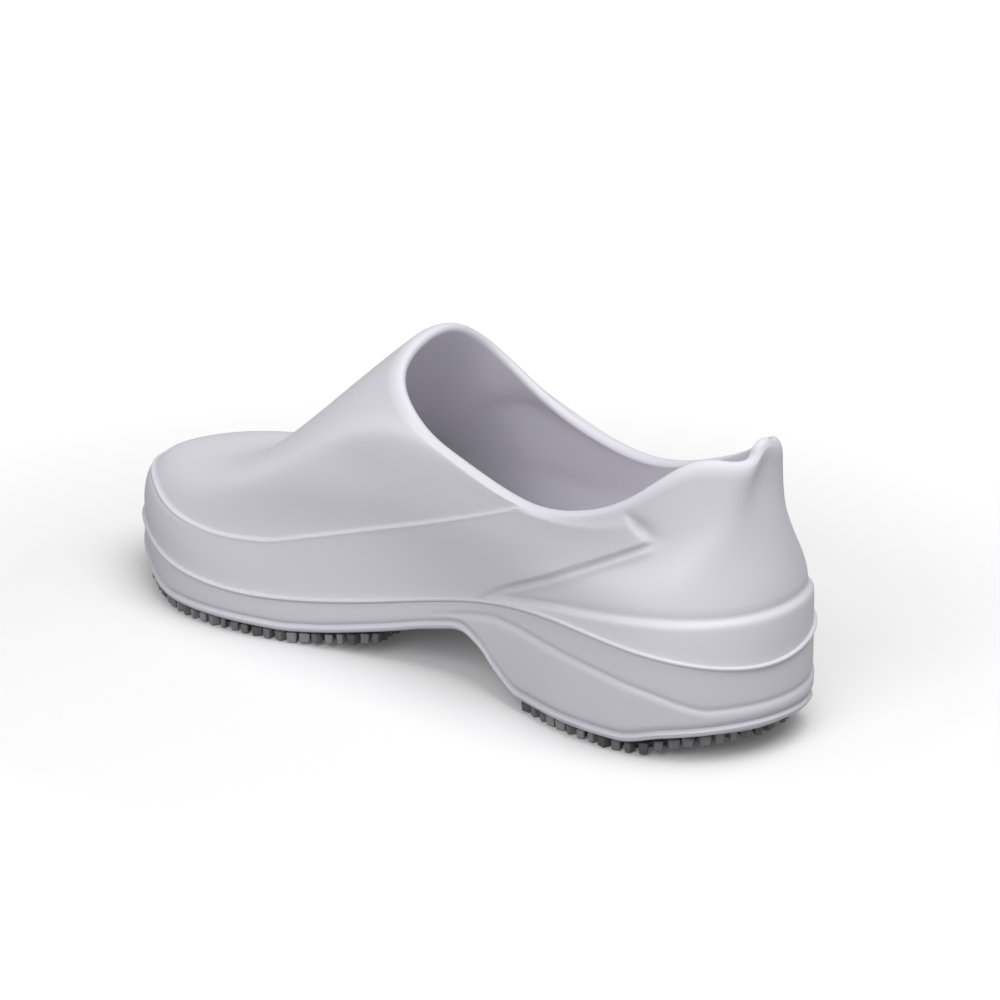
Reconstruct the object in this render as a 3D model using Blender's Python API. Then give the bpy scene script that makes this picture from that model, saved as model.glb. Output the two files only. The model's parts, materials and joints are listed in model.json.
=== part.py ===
"""Moulded slip-on hospital clog for the right foot, as one upper, one sole, two treads and an insole.

The frame has +X to the toe, +Y to the wearer's left (the inner side of this right shoe) and +Z up.
The origin is on the floor, under the middle of the shoe's box. Sizes are in millimetres until the
meshes are made, which are in metres.
"""

import math

import bmesh
import bpy
import numpy as np

MM = 0.001

# Driving sizes of the shoe
LENGTH = 272.0
BALL_WIDTH = 98.0
INSTEP_HEIGHT = 102.6
WALL = 4.2
FIT_GAP = 0.3
FOOT_GAP = 0.4
FEATHER_INSET = 2.6
INSOLE_THICKNESS = 3.5

# How finely the round forms are cut
SOLE_COLUMN_COUNT = 72
UPPER_COLUMN_COUNT = 96
BAND_RINGS = 8
VAMP_RINGS = 12
INNER_RINGS = 7
RIM_RINGS = 3
LADDER_RUNGS = 3
# Columns crowd where the flap's steps cross them: share of the way from toe to heel, relative density
COLUMN_DENSITY = ((0.0, 1.0), (0.54, 1.0), (0.64, 2.2), (0.88, 2.2), (0.96, 1.2), (1.0, 1.2))

# Sections of the sole from toe to heel. Along is per cent of the length from the heel, medial and
# lateral are the lip's half widths in per cent of the ball width, lip is its height.
SOLE_COLUMNS = ("along", "medial", "lateral", "lip")
SOLE_SECTIONS = (
    (100.0, 3.5, -3.5, 20.0),
    (97.8, 22.0, 20.5, 20.3),
    (90.4, 38.0, 36.5, 20.3),
    (80.0, 50.3, 46.0, 17.5),
    (67.5, 48.0, 51.3, 15.2),
    (52.8, 33.5, 49.0, 19.3),
    (38.0, 26.5, 43.5, 28.6),
    (21.3, 33.5, 35.5, 35.8),
    (7.0, 31.5, 37.5, 34.0),
    (0.0, 0.0, 0.0, 30.0),
)

# The same sections of the upper, from the sole's lip to the collar. Collar is how far round the collar
# the section ends, from throat (0) to heel (1). An out column stands off the wall's foot, a share
# column goes from the wall's foot towards the collar, and a rise column is a height.
UPPER_COLUMNS = (
    "collar", "wall_out", "wall_rise", "shoulder_out", "shoulder_rise",
    "crown_share", "crown_out", "crown_rise", "ramp_share", "ramp_out", "ramp_rise",
    "throat_share", "throat_out", "throat_rise",
)
UPPER_SECTIONS = (
    (0.000, 1.0, 28.5, -1.5, 40.5, 0.20, 0.0, 43.5, 0.46, 0.0, 42.0, 0.76, 0.0, 80.0),
    (0.050, 1.0, 28.5, -2.0, 39.5, 0.20, 0.0, 43.0, 0.46, 0.0, 43.0, 0.76, 0.0, 79.0),
    (0.110, 1.0, 28.5, -3.0, 37.5, 0.22, 0.0, 43.5, 0.48, 0.0, 51.0, 0.77, 0.0, 77.0),
    (0.180, 0.5, 26.0, -3.0, 36.0, 0.25, 0.0, 48.0, 0.50, 0.0, 59.0, 0.78, 0.0, 76.0),
    (0.270, 0.0, 24.0, -2.0, 37.5, 0.25, 0.0, 51.0, 0.50, 0.0, 64.0, 0.78, 0.0, 78.0),
    (0.390, 0.5, 32.0, 1.5, 45.0, 0.35, 1.0, 54.0, 0.62, 0.5, 62.5, 0.84, 0.0, 69.5),
    (0.540, 1.5, 36.5, 3.5, 45.0, 0.40, 3.0, 53.0, 0.65, 1.5, 59.0, 0.85, 0.5, 64.0),
    (0.720, 0.0, 42.0, 0.5, 49.0, 0.50, 1.0, 55.0, 0.70, 0.5, 60.0, 0.88, 0.0, 66.0),
    (0.880, 0.0, 41.0, -0.5, 49.0, 0.50, 1.5, 58.0, 0.80, 1.0, 67.0, 0.95, 0.0, 76.0),
    (1.000, 0.0, 39.0, -0.5, 48.0, 0.40, -2.0, 60.0, 0.60, -3.0, 72.0, 0.90, -3.0, 85.0),
)

# The collar's rim from throat to heel tab, with its height on each side
COLLAR_COLUMNS = ("x", "medial", "lateral", "medial_rise", "lateral_rise")
COLLAR_SECTIONS = (
    (6.0, 0.0, 0.0, INSTEP_HEIGHT, INSTEP_HEIGHT),
    (3.0, 21.5, 20.0, 93.2, 93.2),
    (-10.5, 28.0, 27.0, 81.0, 81.2),
    (-29.0, 28.5, 29.5, 73.0, 72.8),
    (-58.0, 29.0, 29.0, 65.5, 68.5),
    (-84.0, 29.5, 28.0, 67.5, 73.0),
    (-104.0, 26.5, 25.0, 76.0, 80.0),
    (-119.0, 18.0, 18.0, 86.8, 88.0),
    (-127.5, 9.5, 9.0, 86.8, 90.0),
    (-129.8, 3.5, 4.0, 88.0, 91.5),
    (-130.0, 0.0, 0.0, 91.5, 91.5),
)

# Lines that run along the shoe, as rows of x and height
UNDERSIDE_LINE = (
    (136.0, 12.0), (114.0, 8.2), (82.0, 4.0), (37.0, 4.0), (24.0, 5.2), (2.0, 9.4), (-18.0, 14.6),
    (-30.0, 17.0), (-39.0, 14.0), (-48.0, 8.2), (-59.0, 4.0), (-103.0, 4.0), (-118.0, 7.0), (-136.0, 10.0),
)
FOOTBED_LINE = (
    (136.0, 15.0), (112.0, 14.0), (82.0, 11.0), (47.0, 10.3), (22.0, 12.0), (7.0, 14.5), (-18.0, 19.0),
    (-33.0, 22.0), (-58.0, 24.0), (-136.0, 25.0),
)
HEEL_SWEEP_LINE = (
    (136.0, 17.0), (32.0, 11.5), (2.0, 14.5), (-23.0, 20.0), (-36.0, 23.5), (-52.0, 26.0), (-87.0, 25.0),
    (-113.0, 21.5), (-129.0, 16.5), (-136.0, 14.5),
)
MUDGUARD_LINE = (
    (136.0, 35.5), (110.0, 34.2), (91.0, 32.8), (76.0, 31.9), (61.0, 31.4), (43.0, 32.6), (26.0, 36.8),
    (3.0, 43.4), (-27.0, 52.8), (-60.0, 64.8), (-88.0, 81.0), (-136.0, 110.0),
)
FLAP_LOWER_LINE = (
    (136.0, -90.0), (-18.0, 10.0), (-40.0, 31.0), (-80.0, 50.2), (-108.0, 64.2), (-136.0, 79.0),
)
HEEL_LEDGE_LINE = (
    (136.0, -90.0), (-18.0, 10.0), (-38.0, 29.0), (-58.0, 34.5), (-88.0, 40.2), (-115.0, 43.3),
    (-136.0, 44.0),
)
FLAP_BACK_TOP = (-97.0, 76.0)
FLAP_TIP = (-108.5, 64.5)

# Relief of the upper's steps and of the sole's side
TOE_SWELL = 1.2
TOE_SWELL_PLACE = (90.0, 22.0)
TOE_SWELL_REACH = (30.0, 18.0)
MUDGUARD_STEP = 1.8
MUDGUARD_FILLET = 3.2
HEEL_LEDGE_STEP = 1.5
FLAP_SOFTNESS = 3.6
RELIEF_ENDS = 0.95
RELIEF_FADE = 0.04
RIM_DROP = 3.0
RIM_HEIGHT = 2.1
RIM_INNER_ROUND = 1.6
LIP_NOSE = 0.9
LIP_UNDERCUT = 1.1
RIM_GROOVE_ABOVE_EDGE = 2.8
RIM_GROOVE_DEPTH = 1.3
SWEEP_GROOVE_DEPTH = 1.2
GROOVE_HALF_WIDTH = 0.8
HEEL_TAPER = 2.5
TAPER_ENDS = (-66.0, -118.0)
TAPER_FADE = 10.0
SWEEP_FADE = (-16.0, -32.0)
FLANGE_INSET = 7.2
BED_INSET = 9.5

# The treads: back and front ends along the middle, how far the two ends bow to the toe, and their blocks
FOREFOOT_TREAD = (12.0, 127.0, 9.0, 11.0)
HEEL_TREAD = (-129.0, -53.0, -17.0, 6.0)
TREAD_INSET = 5.0
TREAD_GAP = 0.5
TREAD_PLATE = 1.2
BLOCK_HEIGHT = 2.3
BLOCK_PITCH = 10.2
BLOCK_GAP = 1.6

# Looks of the materials: colour, roughness
WHITE_FOAM = ((0.80, 0.80, 0.84), 0.45)
WHITE_SOLE = ((0.78, 0.78, 0.82), 0.48)
GREY_RUBBER = ((0.16, 0.16, 0.17), 0.70)
FOOTBED_FOAM = ((0.70, 0.70, 0.74), 0.75)


def column(names, rows, name):
    """Returns one named column of a table as an array."""
    return np.array([row[names.index(name)] for row in rows])


def closed_spline(knots, values, at):
    """Returns a smooth closed curve, of period 1, through values at knots."""
    values = np.asarray(values, float)
    steps = np.diff(np.append(knots, knots[0] + 1.0))
    before = np.roll(steps, 1)
    slopes = (np.roll(values, -1) - values) / steps
    count = len(values)
    system = np.diag(2.0 * (before + steps))
    for i in range(count):
        system[i, (i - 1) % count] += before[i]
        system[i, (i + 1) % count] += steps[i]
    bends = np.linalg.solve(system, 6.0 * (slopes - np.roll(slopes, 1)))
    at = np.asarray(at, float) % 1.0
    left = np.clip(np.searchsorted(knots, at, side="right") - 1, 0, count - 1)
    right = (left + 1) % count
    step = steps[left]
    from_left = (at - knots[left]) / step
    to_right = 1.0 - from_left
    return (
        to_right * values[left]
        + from_left * values[right]
        + step**2 / 6.0 * ((to_right**3 - to_right) * bends[left] + (from_left**3 - from_left) * bends[right])
    )


def line_height(line, x):
    """Returns the height at x of a line along the shoe, with no overshoot between its rows."""
    rows = np.array(line)[::-1]
    steps = np.diff(rows[:, 0])
    slopes = np.diff(rows[:, 1]) / steps
    ahead, behind = slopes[1:], slopes[:-1]
    same_way = ahead * behind > 0.0
    inner = np.where(same_way, 2.0 * ahead * behind / np.where(same_way, ahead + behind, 1.0), 0.0)
    tangents = np.concatenate([slopes[:1], inner, slopes[-1:]])
    x = np.clip(x, rows[0, 0], rows[-1, 0])
    left = np.clip(np.searchsorted(rows[:, 0], x, side="right") - 1, 0, len(steps) - 1)
    step = steps[left]
    t = (x - rows[left, 0]) / step
    return (
        (1 + 2 * t) * (1 - t) ** 2 * rows[left, 1]
        + t * (1 - t) ** 2 * step * tangents[left]
        + t**2 * (3 - 2 * t) * rows[left + 1, 1]
        + t**2 * (t - 1) * step * tangents[left + 1]
    )


def smooth_step(value):
    """Returns 0 below -1, 1 above 1 and a soft ramp between."""
    t = np.clip(0.5 * (value + 1.0), 0.0, 1.0)
    return t * t * (3.0 - 2.0 * t)


def spline_basis(count, at):
    """Returns the cubic B-spline weights of count control rings, clamped at both ends."""
    degree = 3
    inner = np.linspace(0.0, 1.0, count - degree + 1)
    knots = np.concatenate([np.zeros(degree), inner, np.ones(degree)])
    at = np.clip(np.asarray(at, float), 0.0, 1.0 - 1e-9)
    weights = [((knots[i] <= at) & (at < knots[i + 1])).astype(float) for i in range(len(knots) - 1)]
    for order in range(1, degree + 1):
        raised = []
        for i in range(len(knots) - 1 - order):
            rise = knots[i + order] - knots[i]
            fall = knots[i + order + 1] - knots[i + 1]
            up = weights[i] * (at - knots[i]) / rise if rise > 0 else 0.0
            down = weights[i + 1] * (knots[i + order + 1] - at) / fall if fall > 0 else 0.0
            raised.append(up + down)
        weights = raised
    return np.stack(weights)


def loop_knots(half_points):
    """Returns the knots round a closed loop whose two sides share the half's spacing."""
    chords = np.sqrt(np.linalg.norm(np.diff(half_points, axis=0), axis=1))
    half = np.concatenate([[0.0], np.cumsum(chords)]) / (2.0 * chords.sum())
    return np.concatenate([half, 1.0 - half[-2:0:-1]])


def round_loop(near, far):
    """Returns a table column as it goes round the loop: toe to heel on one side, back on the other."""
    return np.concatenate([near, far[-2:0:-1]])


def even_columns(count):
    """Returns places round the loop at an even spacing."""
    return np.arange(count) / count


def crowded_columns(count):
    """Returns places round the loop that lie closer together where the column density is higher."""
    half, density = np.array(COLUMN_DENSITY).T
    fine = np.linspace(0.0, 1.0, 401)
    filled = np.concatenate([[0.0], np.cumsum(np.interp(fine, half, density))[:-1]])
    side = np.interp(np.linspace(0.0, filled[-1], count // 2 + 1), filled, fine) / 2.0
    return np.concatenate([side, 1.0 - side[-2:0:-1]])


class Last:
    """The forms that the shoe's pieces share: the sole's outline, the collar and the upper's surface."""

    def __init__(self, at):
        """Places the loop's columns, from the toe along the inner side to the heel and back."""
        self.at = at
        along = column(SOLE_COLUMNS, SOLE_SECTIONS, "along")
        medial = column(SOLE_COLUMNS, SOLE_SECTIONS, "medial") * BALL_WIDTH / 100.0
        lateral = column(SOLE_COLUMNS, SOLE_SECTIONS, "lateral") * BALL_WIDTH / 100.0
        x = (along / 100.0 - 0.5) * LENGTH
        self.knots = loop_knots(np.column_stack([x, (medial + lateral) / 2.0]))
        self.x = closed_spline(self.knots, round_loop(x, x), self.at)
        self.y = closed_spline(self.knots, round_loop(medial, -lateral), self.at)
        self.lip = self.section_loop(column(SOLE_COLUMNS, SOLE_SECTIONS, "lip"))
        step = 1e-4
        dx = closed_spline(self.knots, round_loop(x, x), self.at + step) - self.x
        dy = closed_spline(self.knots, round_loop(medial, -lateral), self.at + step) - self.y
        length = np.hypot(dx, dy)
        self.out_x = -dy / length
        self.out_y = dx / length
        if np.sum(self.out_x * self.x + self.out_y * self.y) < 0.0:
            self.out_x = -self.out_x
            self.out_y = -self.out_y

    def section_loop(self, values):
        """Returns a value that is the same on both sides of the shoe, at every column."""
        return closed_spline(self.knots, round_loop(values, values), self.at)

    def ring(self, offset, height):
        """Returns the outline moved outwards by offset, at a height or heights."""
        height = np.broadcast_to(height, self.x.shape)
        return np.column_stack([self.x + self.out_x * offset, self.y + self.out_y * offset, height])

    def collar(self):
        """Returns the middle of the collar's rim at every column."""
        x, medial, lateral, medial_rise, lateral_rise = (
            column(COLLAR_COLUMNS, COLLAR_SECTIONS, name) for name in COLLAR_COLUMNS
        )
        middle = (medial + lateral) / 2.0, (medial_rise + lateral_rise) / 2.0
        knots = loop_knots(np.column_stack([x, *middle]))
        shares = column(UPPER_COLUMNS, UPPER_SECTIONS, "collar") / 2.0
        turn = round_loop(shares, 1.0 - shares) - self.knots
        at = self.at + closed_spline(self.knots, turn, self.at)
        sides = (round_loop(x, x), round_loop(medial, -lateral), round_loop(medial_rise, lateral_rise))
        return np.column_stack([closed_spline(knots, values, at) for values in sides])

    def control_rings(self):
        """Returns the rings, from the wall's foot to the collar, that pull the upper's surface."""
        foot = self.ring(-FEATHER_INSET, self.lip + FOOT_GAP)
        collar = self.collar()
        named = {}
        for name in UPPER_COLUMNS[1:]:
            named[name] = self.section_loop(column(UPPER_COLUMNS, UPPER_SECTIONS, name))
        rings = [foot]
        for name in ("wall", "shoulder"):
            rings.append(self.ring(named[name + "_out"] - FEATHER_INSET, named[name + "_rise"]))
        for name in ("crown", "ramp", "throat"):
            ring = foot + (collar - foot) * named[name + "_share"][:, None]
            ring[:, 0] += self.out_x * named[name + "_out"]
            ring[:, 1] += self.out_y * named[name + "_out"]
            ring[:, 2] = named[name + "_rise"]
            rings.append(ring)
        rings.append(collar)
        return np.stack(rings)

    def upper_surface(self, shares):
        """Returns the plain outer surface at shares of the way up, one row of shares for each ring."""
        controls = self.control_rings()
        weights = spline_basis(len(controls), shares)
        return np.einsum("krc,kcd->rcd", weights, controls)

    def mudguard_shares(self):
        """Returns how far up the surface the mudguard's top edge runs, at every column."""
        trial = np.linspace(0.0, 1.0, 201)[:, None] * np.ones(len(self.at))
        points = self.upper_surface(trial)
        below = points[..., 2] < line_height(MUDGUARD_LINE, points[..., 0])
        shares = np.clip(np.mean(below, axis=0), 0.12, 0.5)
        return closed_spline(self.at[::4], shares[::4], self.at)


def surface_normals(points):
    """Returns outward unit normals of a grid of rings, closed round the shoe."""
    around = np.roll(points, -1, axis=1) - np.roll(points, 1, axis=1)
    up = np.gradient(points, axis=0)
    normals = np.cross(around, up)
    normals /= np.linalg.norm(normals, axis=2, keepdims=True)
    middle = points.mean(axis=(0, 1))
    if np.sum(normals * (points - middle)) < 0.0:
        normals = -normals
    return normals


def upper_relief(points):
    """Returns how far the moulded steps stand off the upper's plain surface."""
    x, y, z = points[..., 0], points[..., 1], points[..., 2]
    slope = (FLAP_TIP[0] - FLAP_BACK_TOP[0]) / (FLAP_TIP[1] - FLAP_BACK_TOP[1])
    flap_back = FLAP_TIP[0] + slope * (z - FLAP_TIP[1])
    band = np.clip(1.0 - (z - line_height(MUDGUARD_LINE, x)) / MUDGUARD_FILLET, 0.0, 1.0) ** 2
    band = band * smooth_step((z - line_height(FLAP_LOWER_LINE, x)) / FLAP_SOFTNESS)
    band = band * smooth_step((x - flap_back) / FLAP_SOFTNESS)
    ledge = smooth_step((line_height(HEEL_LEDGE_LINE, x) - z) / FLAP_SOFTNESS)
    along = (x - TOE_SWELL_PLACE[0]) / TOE_SWELL_REACH[0]
    across = (y - TOE_SWELL_PLACE[1]) / TOE_SWELL_REACH[1]
    swell = TOE_SWELL * np.exp(-(along**2) - across**2)
    return np.maximum(MUDGUARD_STEP * band, HEEL_LEDGE_STEP * ledge) + swell


def rim_rings(rim_in, out, up):
    """Returns the collar's rim above the wall's inner edge: a long round outside, a tight one inside."""
    across = WALL - RIM_INNER_ROUND
    tall = RIM_DROP + RIM_HEIGHT
    rings = []
    for turn in np.linspace(math.asin(RIM_DROP / tall), math.pi / 2.0, RIM_RINGS)[1:]:
        width = RIM_INNER_ROUND + across * math.cos(turn)
        rings.append(rim_in + out * width + up * (tall * math.sin(turn) - RIM_DROP))
    rings.append(rim_in + up * (RIM_HEIGHT - RIM_INNER_ROUND))
    return np.stack(rings)


def rim_roll(below_rim):
    """Returns how far the rim's outer round has turned in, at a distance below the rim."""
    tall = RIM_DROP + RIM_HEIGHT
    sunk = np.clip(1.0 - below_rim / RIM_DROP, 0.0, 1.0) * RIM_DROP / tall
    return (WALL - RIM_INNER_ROUND) * (1.0 - np.sqrt(1.0 - sunk**2))


def upper_rings(last):
    """Returns the upper's closed skin as rings: outside from foot to collar, rim, inside back down."""
    edge = last.mudguard_shares()
    half_step = 0.018
    low = np.linspace(0.0, 1.0, BAND_RINGS)[:, None] * (edge - half_step)
    high = (edge + half_step) + np.linspace(0.0, 1.0, VAMP_RINGS)[:, None] * (1.0 - edge - half_step)
    shares = np.vstack([low, edge[None, :], high])
    plain = last.upper_surface(shares)
    normals = surface_normals(plain)
    fade = smooth_step((RELIEF_ENDS - shares) / RELIEF_FADE)
    stand = upper_relief(plain) * fade - rim_roll(np.linalg.norm(plain - plain[-1], axis=2))
    outside = plain + normals * stand[..., None]
    levels = np.linspace(0.0, 1.0, INNER_RINGS)[:, None] * np.ones(len(last.at))
    middle = last.upper_surface(levels)
    outward = surface_normals(middle)
    flat_foot = outward[0] * [1.0, 1.0, 0.0]
    outward[0] = flat_foot / np.linalg.norm(flat_foot, axis=1, keepdims=True)
    inside = middle - outward * WALL
    up = plain[-1] - plain[-2]
    up /= np.linalg.norm(up, axis=1, keepdims=True)
    rim = rim_rings(inside[-1], outward[-1], up)
    return np.concatenate([outside, rim, inside[::-1]])


def sole_rings(last):
    """Returns the sole's side as rings: from the flange's inner edge over the lip to the bottom edge."""
    edge = line_height(UNDERSIDE_LINE, last.x)
    rim_groove = edge + RIM_GROOVE_ABOVE_EDGE
    under_lip = last.lip - 2.0 * LIP_NOSE
    sweep = line_height(HEEL_SWEEP_LINE, last.x)
    room = under_lip - rim_groove
    sweep = np.clip(sweep, rim_groove + 0.25 * room, under_lip - 0.25 * room)
    fade = smooth_step((np.mean(SWEEP_FADE) - last.x) / (SWEEP_FADE[0] - SWEEP_FADE[1]) * 2.0)
    taper = smooth_step((TAPER_ENDS[0] - last.x) / TAPER_FADE)
    taper = HEEL_TAPER * taper * smooth_step((last.x - TAPER_ENDS[1]) / TAPER_FADE)
    width = GROOVE_HALF_WIDTH
    rows = [
        (-FLANGE_INSET, last.lip),
        (-0.5 * LIP_NOSE, last.lip),
        (0.0, last.lip - 0.5 * LIP_NOSE),
        (-LIP_UNDERCUT, under_lip),
        (-0.8 * LIP_UNDERCUT, (under_lip + sweep) / 2.0),
        (-LIP_UNDERCUT, sweep + width),
        (-LIP_UNDERCUT - fade * SWEEP_GROOVE_DEPTH, sweep),
        (-LIP_UNDERCUT, sweep - width),
        (-0.8 * LIP_UNDERCUT, (sweep + rim_groove) / 2.0),
        (-1.2 * LIP_UNDERCUT, rim_groove + width),
        (-1.2 * LIP_UNDERCUT - RIM_GROOVE_DEPTH, rim_groove),
        (-LIP_UNDERCUT, rim_groove - width),
        (-LIP_UNDERCUT, edge + 1.2),
        (-2.2 * LIP_UNDERCUT, edge),
    ]
    rings = [last.ring(-BED_INSET, line_height(FOOTBED_LINE, last.x))]
    for offset, height in rows:
        sunk = np.clip((under_lip - height) / (under_lip - edge), 0.0, 1.0)
        rings.append(last.ring(offset - taper * sunk, height))
    return np.stack(rings)


def ladder_rows(ring, line, lift):
    """Returns rows of points that cross a closed ring from side to side, at the height of a line."""
    count = len(ring)
    rows = []
    for i in range(1, count // 2):
        shares = np.linspace(0.0, 1.0, LADDER_RUNGS + 2)[1:-1, None]
        row = ring[i] + (ring[count - i] - ring[i]) * shares
        row[:, 2] = line_height(line, row[:, 0]) + lift
        rows.append(row)
    return rows


def join_rings(mesh, lower, upper):
    """Adds the faces between two closed rings of vertices."""
    for i in range(len(lower)):
        j = (i + 1) % len(lower)
        mesh.faces.new((lower[i], lower[j], upper[j], upper[i]))


def add_rings(mesh, rings):
    """Adds rings of points to a bmesh, with faces between each and the next, and returns their vertices."""
    grid = [[mesh.verts.new(point * MM) for point in ring] for ring in rings]
    for lower, upper in zip(grid, grid[1:]):
        join_rings(mesh, lower, upper)
    return grid


def close_ring(mesh, ring, points, line, lift):
    """Fills a ring with rungs from side to side that follow a line's height."""
    count = len(ring)
    rows = [[mesh.verts.new(p * MM) for p in row] for row in ladder_rows(points, line, lift)]
    full = [[ring[i], *row, ring[count - i]] for i, row in zip(range(1, count // 2), rows)]
    for first, second in zip(full, full[1:]):
        for k in range(len(first) - 1):
            mesh.faces.new((first[k], first[k + 1], second[k + 1], second[k]))
    mesh.faces.new((ring[0], *full[0]))
    mesh.faces.new((ring[count // 2], *reversed(full[-1])))


def finish_object(name, mesh, look):
    """Turns a bmesh into a smooth shaded object with its own material."""
    bmesh.ops.recalc_face_normals(mesh, faces=mesh.faces)
    data = bpy.data.meshes.new(name)
    mesh.to_mesh(data)
    mesh.free()
    data.shade_smooth()
    data.set_sharp_from_angle(angle=math.radians(40.0))
    colour, roughness = look
    material = bpy.data.materials.new(name)
    material.use_nodes = True
    shader = material.node_tree.nodes["Principled BSDF"]
    shader.inputs["Base Color"].default_value = (*colour, 1.0)
    shader.inputs["Roughness"].default_value = roughness
    shader.inputs["Metallic"].default_value = 0.0
    data.materials.append(material)
    made = bpy.data.objects.new(name, data)
    bpy.context.scene.collection.objects.link(made)
    return made


def make_upper(last):
    """Makes the hollow upper, open at the collar and underneath."""
    mesh = bmesh.new()
    grid = add_rings(mesh, upper_rings(last))
    join_rings(mesh, grid[-1], grid[0])
    return finish_object("upper", mesh, WHITE_FOAM)


def make_sole(last):
    """Makes the sole unit with its cupped footbed, lip, grooves, arch and heel."""
    mesh = bmesh.new()
    rings = sole_rings(last)
    grid = add_rings(mesh, rings)
    close_ring(mesh, grid[0], rings[0], FOOTBED_LINE, 0.0)
    close_ring(mesh, grid[-1], rings[-1], UNDERSIDE_LINE, 0.0)
    return finish_object("sole", mesh, WHITE_SOLE)


def make_insole(last):
    """Makes the loose footbed that lies in the sole's cup."""
    mesh = bmesh.new()
    bed = line_height(FOOTBED_LINE, last.x)
    inset = BED_INSET + 2.0 * FIT_GAP
    rings = np.stack([
        last.ring(-inset, bed + FIT_GAP),
        last.ring(-inset, bed + FIT_GAP + INSOLE_THICKNESS),
    ])
    grid = add_rings(mesh, rings)
    close_ring(mesh, grid[0], rings[0], FOOTBED_LINE, FIT_GAP)
    close_ring(mesh, grid[1], rings[1], FOOTBED_LINE, FIT_GAP + INSOLE_THICKNESS)
    return finish_object("insole", mesh, FOOTBED_FOAM)


def side_at(ring, x, medial):
    """Returns the ring's half width at x on one side of the shoe."""
    half = len(ring) // 2
    side = ring[: half + 1] if medial else np.vstack([ring[half:], ring[:1]])[::-1]
    order = np.argsort(side[:, 0])
    return np.interp(x, side[order, 0], side[order, 1])


def tread_layer(mesh, outline, lengths, bows, across, drop):
    """Adds one face of a tread plate, as rows that bow towards the toe, and returns its vertices."""
    layer = []
    for x, bow in zip(lengths, bows):
        medial = side_at(outline, x - bow, True)
        lateral = side_at(outline, x - bow, False)
        row = []
        for share in across:
            bowed = x - bow * (2.0 * share - 1.0) ** 2
            z = line_height(UNDERSIDE_LINE, bowed) - drop
            row.append(mesh.verts.new((bowed * MM, (lateral + (medial - lateral) * share) * MM, z * MM)))
        layer.append(row)
    return layer


def make_tread(last, name, limits):
    """Makes one rubber tread: a plate under the sole with blocks drawn down from it."""
    mesh = bmesh.new()
    outline = last.ring(-TREAD_INSET, 0.0)
    back, front, back_bow, front_bow = limits
    lengths = np.linspace(back, front, round((front - back) / BLOCK_PITCH) + 1)
    bows = np.linspace(back_bow, front_bow, len(lengths))
    width = max(side_at(outline, x, True) - side_at(outline, x, False) for x in lengths)
    across = np.linspace(0.0, 1.0, round(width / BLOCK_PITCH) + 1)
    top = tread_layer(mesh, outline, lengths, bows, across, TREAD_GAP)
    bottom = tread_layer(mesh, outline, lengths, bows, across, TREAD_GAP + TREAD_PLATE)
    last_row, last_column = len(lengths) - 1, len(across) - 1
    blocks = []
    for i in range(last_row):
        for k in range(last_column):
            mesh.faces.new((top[i][k], top[i + 1][k], top[i + 1][k + 1], top[i][k + 1]))
            corners = (bottom[i][k], bottom[i][k + 1], bottom[i + 1][k + 1], bottom[i + 1][k])
            blocks.append(mesh.faces.new(corners))
    for i in range(last_row):
        for k in (0, last_column):
            mesh.faces.new((top[i][k], bottom[i][k], bottom[i + 1][k], top[i + 1][k]))
    for k in range(last_column):
        for i in (0, last_row):
            mesh.faces.new((top[i][k], top[i][k + 1], bottom[i][k + 1], bottom[i][k]))
    bmesh.ops.recalc_face_normals(mesh, faces=mesh.faces)
    bmesh.ops.inset_individual(mesh, faces=blocks, thickness=BLOCK_GAP / 2.0 * MM)
    drawn = bmesh.ops.extrude_discrete_faces(mesh, faces=blocks)["faces"]
    for block in drawn:
        bmesh.ops.translate(mesh, verts=block.verts, vec=(0.0, 0.0, -BLOCK_HEIGHT * MM))
    return finish_object(name, mesh, GREY_RUBBER)


def main():
    """Clears the scene and makes the shoe's pieces."""
    for old in list(bpy.data.objects):
        bpy.data.objects.remove(old, do_unlink=True)
    last = Last(even_columns(SOLE_COLUMN_COUNT))
    make_upper(Last(crowded_columns(UPPER_COLUMN_COUNT)))
    make_sole(last)
    make_insole(last)
    make_tread(last, "outsole_forefoot", FOREFOOT_TREAD)
    make_tread(last, "outsole_heel", HEEL_TREAD)


main()
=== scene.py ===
"""Looks of a moulded slip-on hospital clog: a foam upper, a foam sole, a footbed and two rubber treads.

Sizes are in millimetres until a mesh is made, which is in metres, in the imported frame: +X to the toe,
+Y to the wearer's left, which is the inner side of this right shoe, and +Z up.
"""

import json
import logging
import math
from dataclasses import dataclass
from enum import Enum
from typing import Sequence

import bmesh
import bpy
import numpy as np
from mathutils import Matrix, Vector

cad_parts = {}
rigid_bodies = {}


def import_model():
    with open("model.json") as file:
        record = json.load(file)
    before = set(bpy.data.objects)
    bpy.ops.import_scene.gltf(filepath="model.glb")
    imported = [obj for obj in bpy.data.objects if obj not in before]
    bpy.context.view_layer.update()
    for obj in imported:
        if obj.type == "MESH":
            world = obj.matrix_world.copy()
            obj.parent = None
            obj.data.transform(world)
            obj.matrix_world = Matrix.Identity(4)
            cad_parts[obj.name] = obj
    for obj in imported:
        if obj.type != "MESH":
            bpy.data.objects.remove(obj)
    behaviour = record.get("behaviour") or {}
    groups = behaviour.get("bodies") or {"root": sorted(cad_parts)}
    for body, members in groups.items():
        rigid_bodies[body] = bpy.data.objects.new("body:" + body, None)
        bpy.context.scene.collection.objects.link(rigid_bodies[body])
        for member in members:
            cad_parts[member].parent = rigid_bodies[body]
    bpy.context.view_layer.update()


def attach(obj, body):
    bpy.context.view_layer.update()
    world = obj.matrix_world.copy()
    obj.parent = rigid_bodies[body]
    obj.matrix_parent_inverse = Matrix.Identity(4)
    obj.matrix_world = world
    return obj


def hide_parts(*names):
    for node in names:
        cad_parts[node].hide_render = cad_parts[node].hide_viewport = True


LOG = logging.getLogger("clog")
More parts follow.
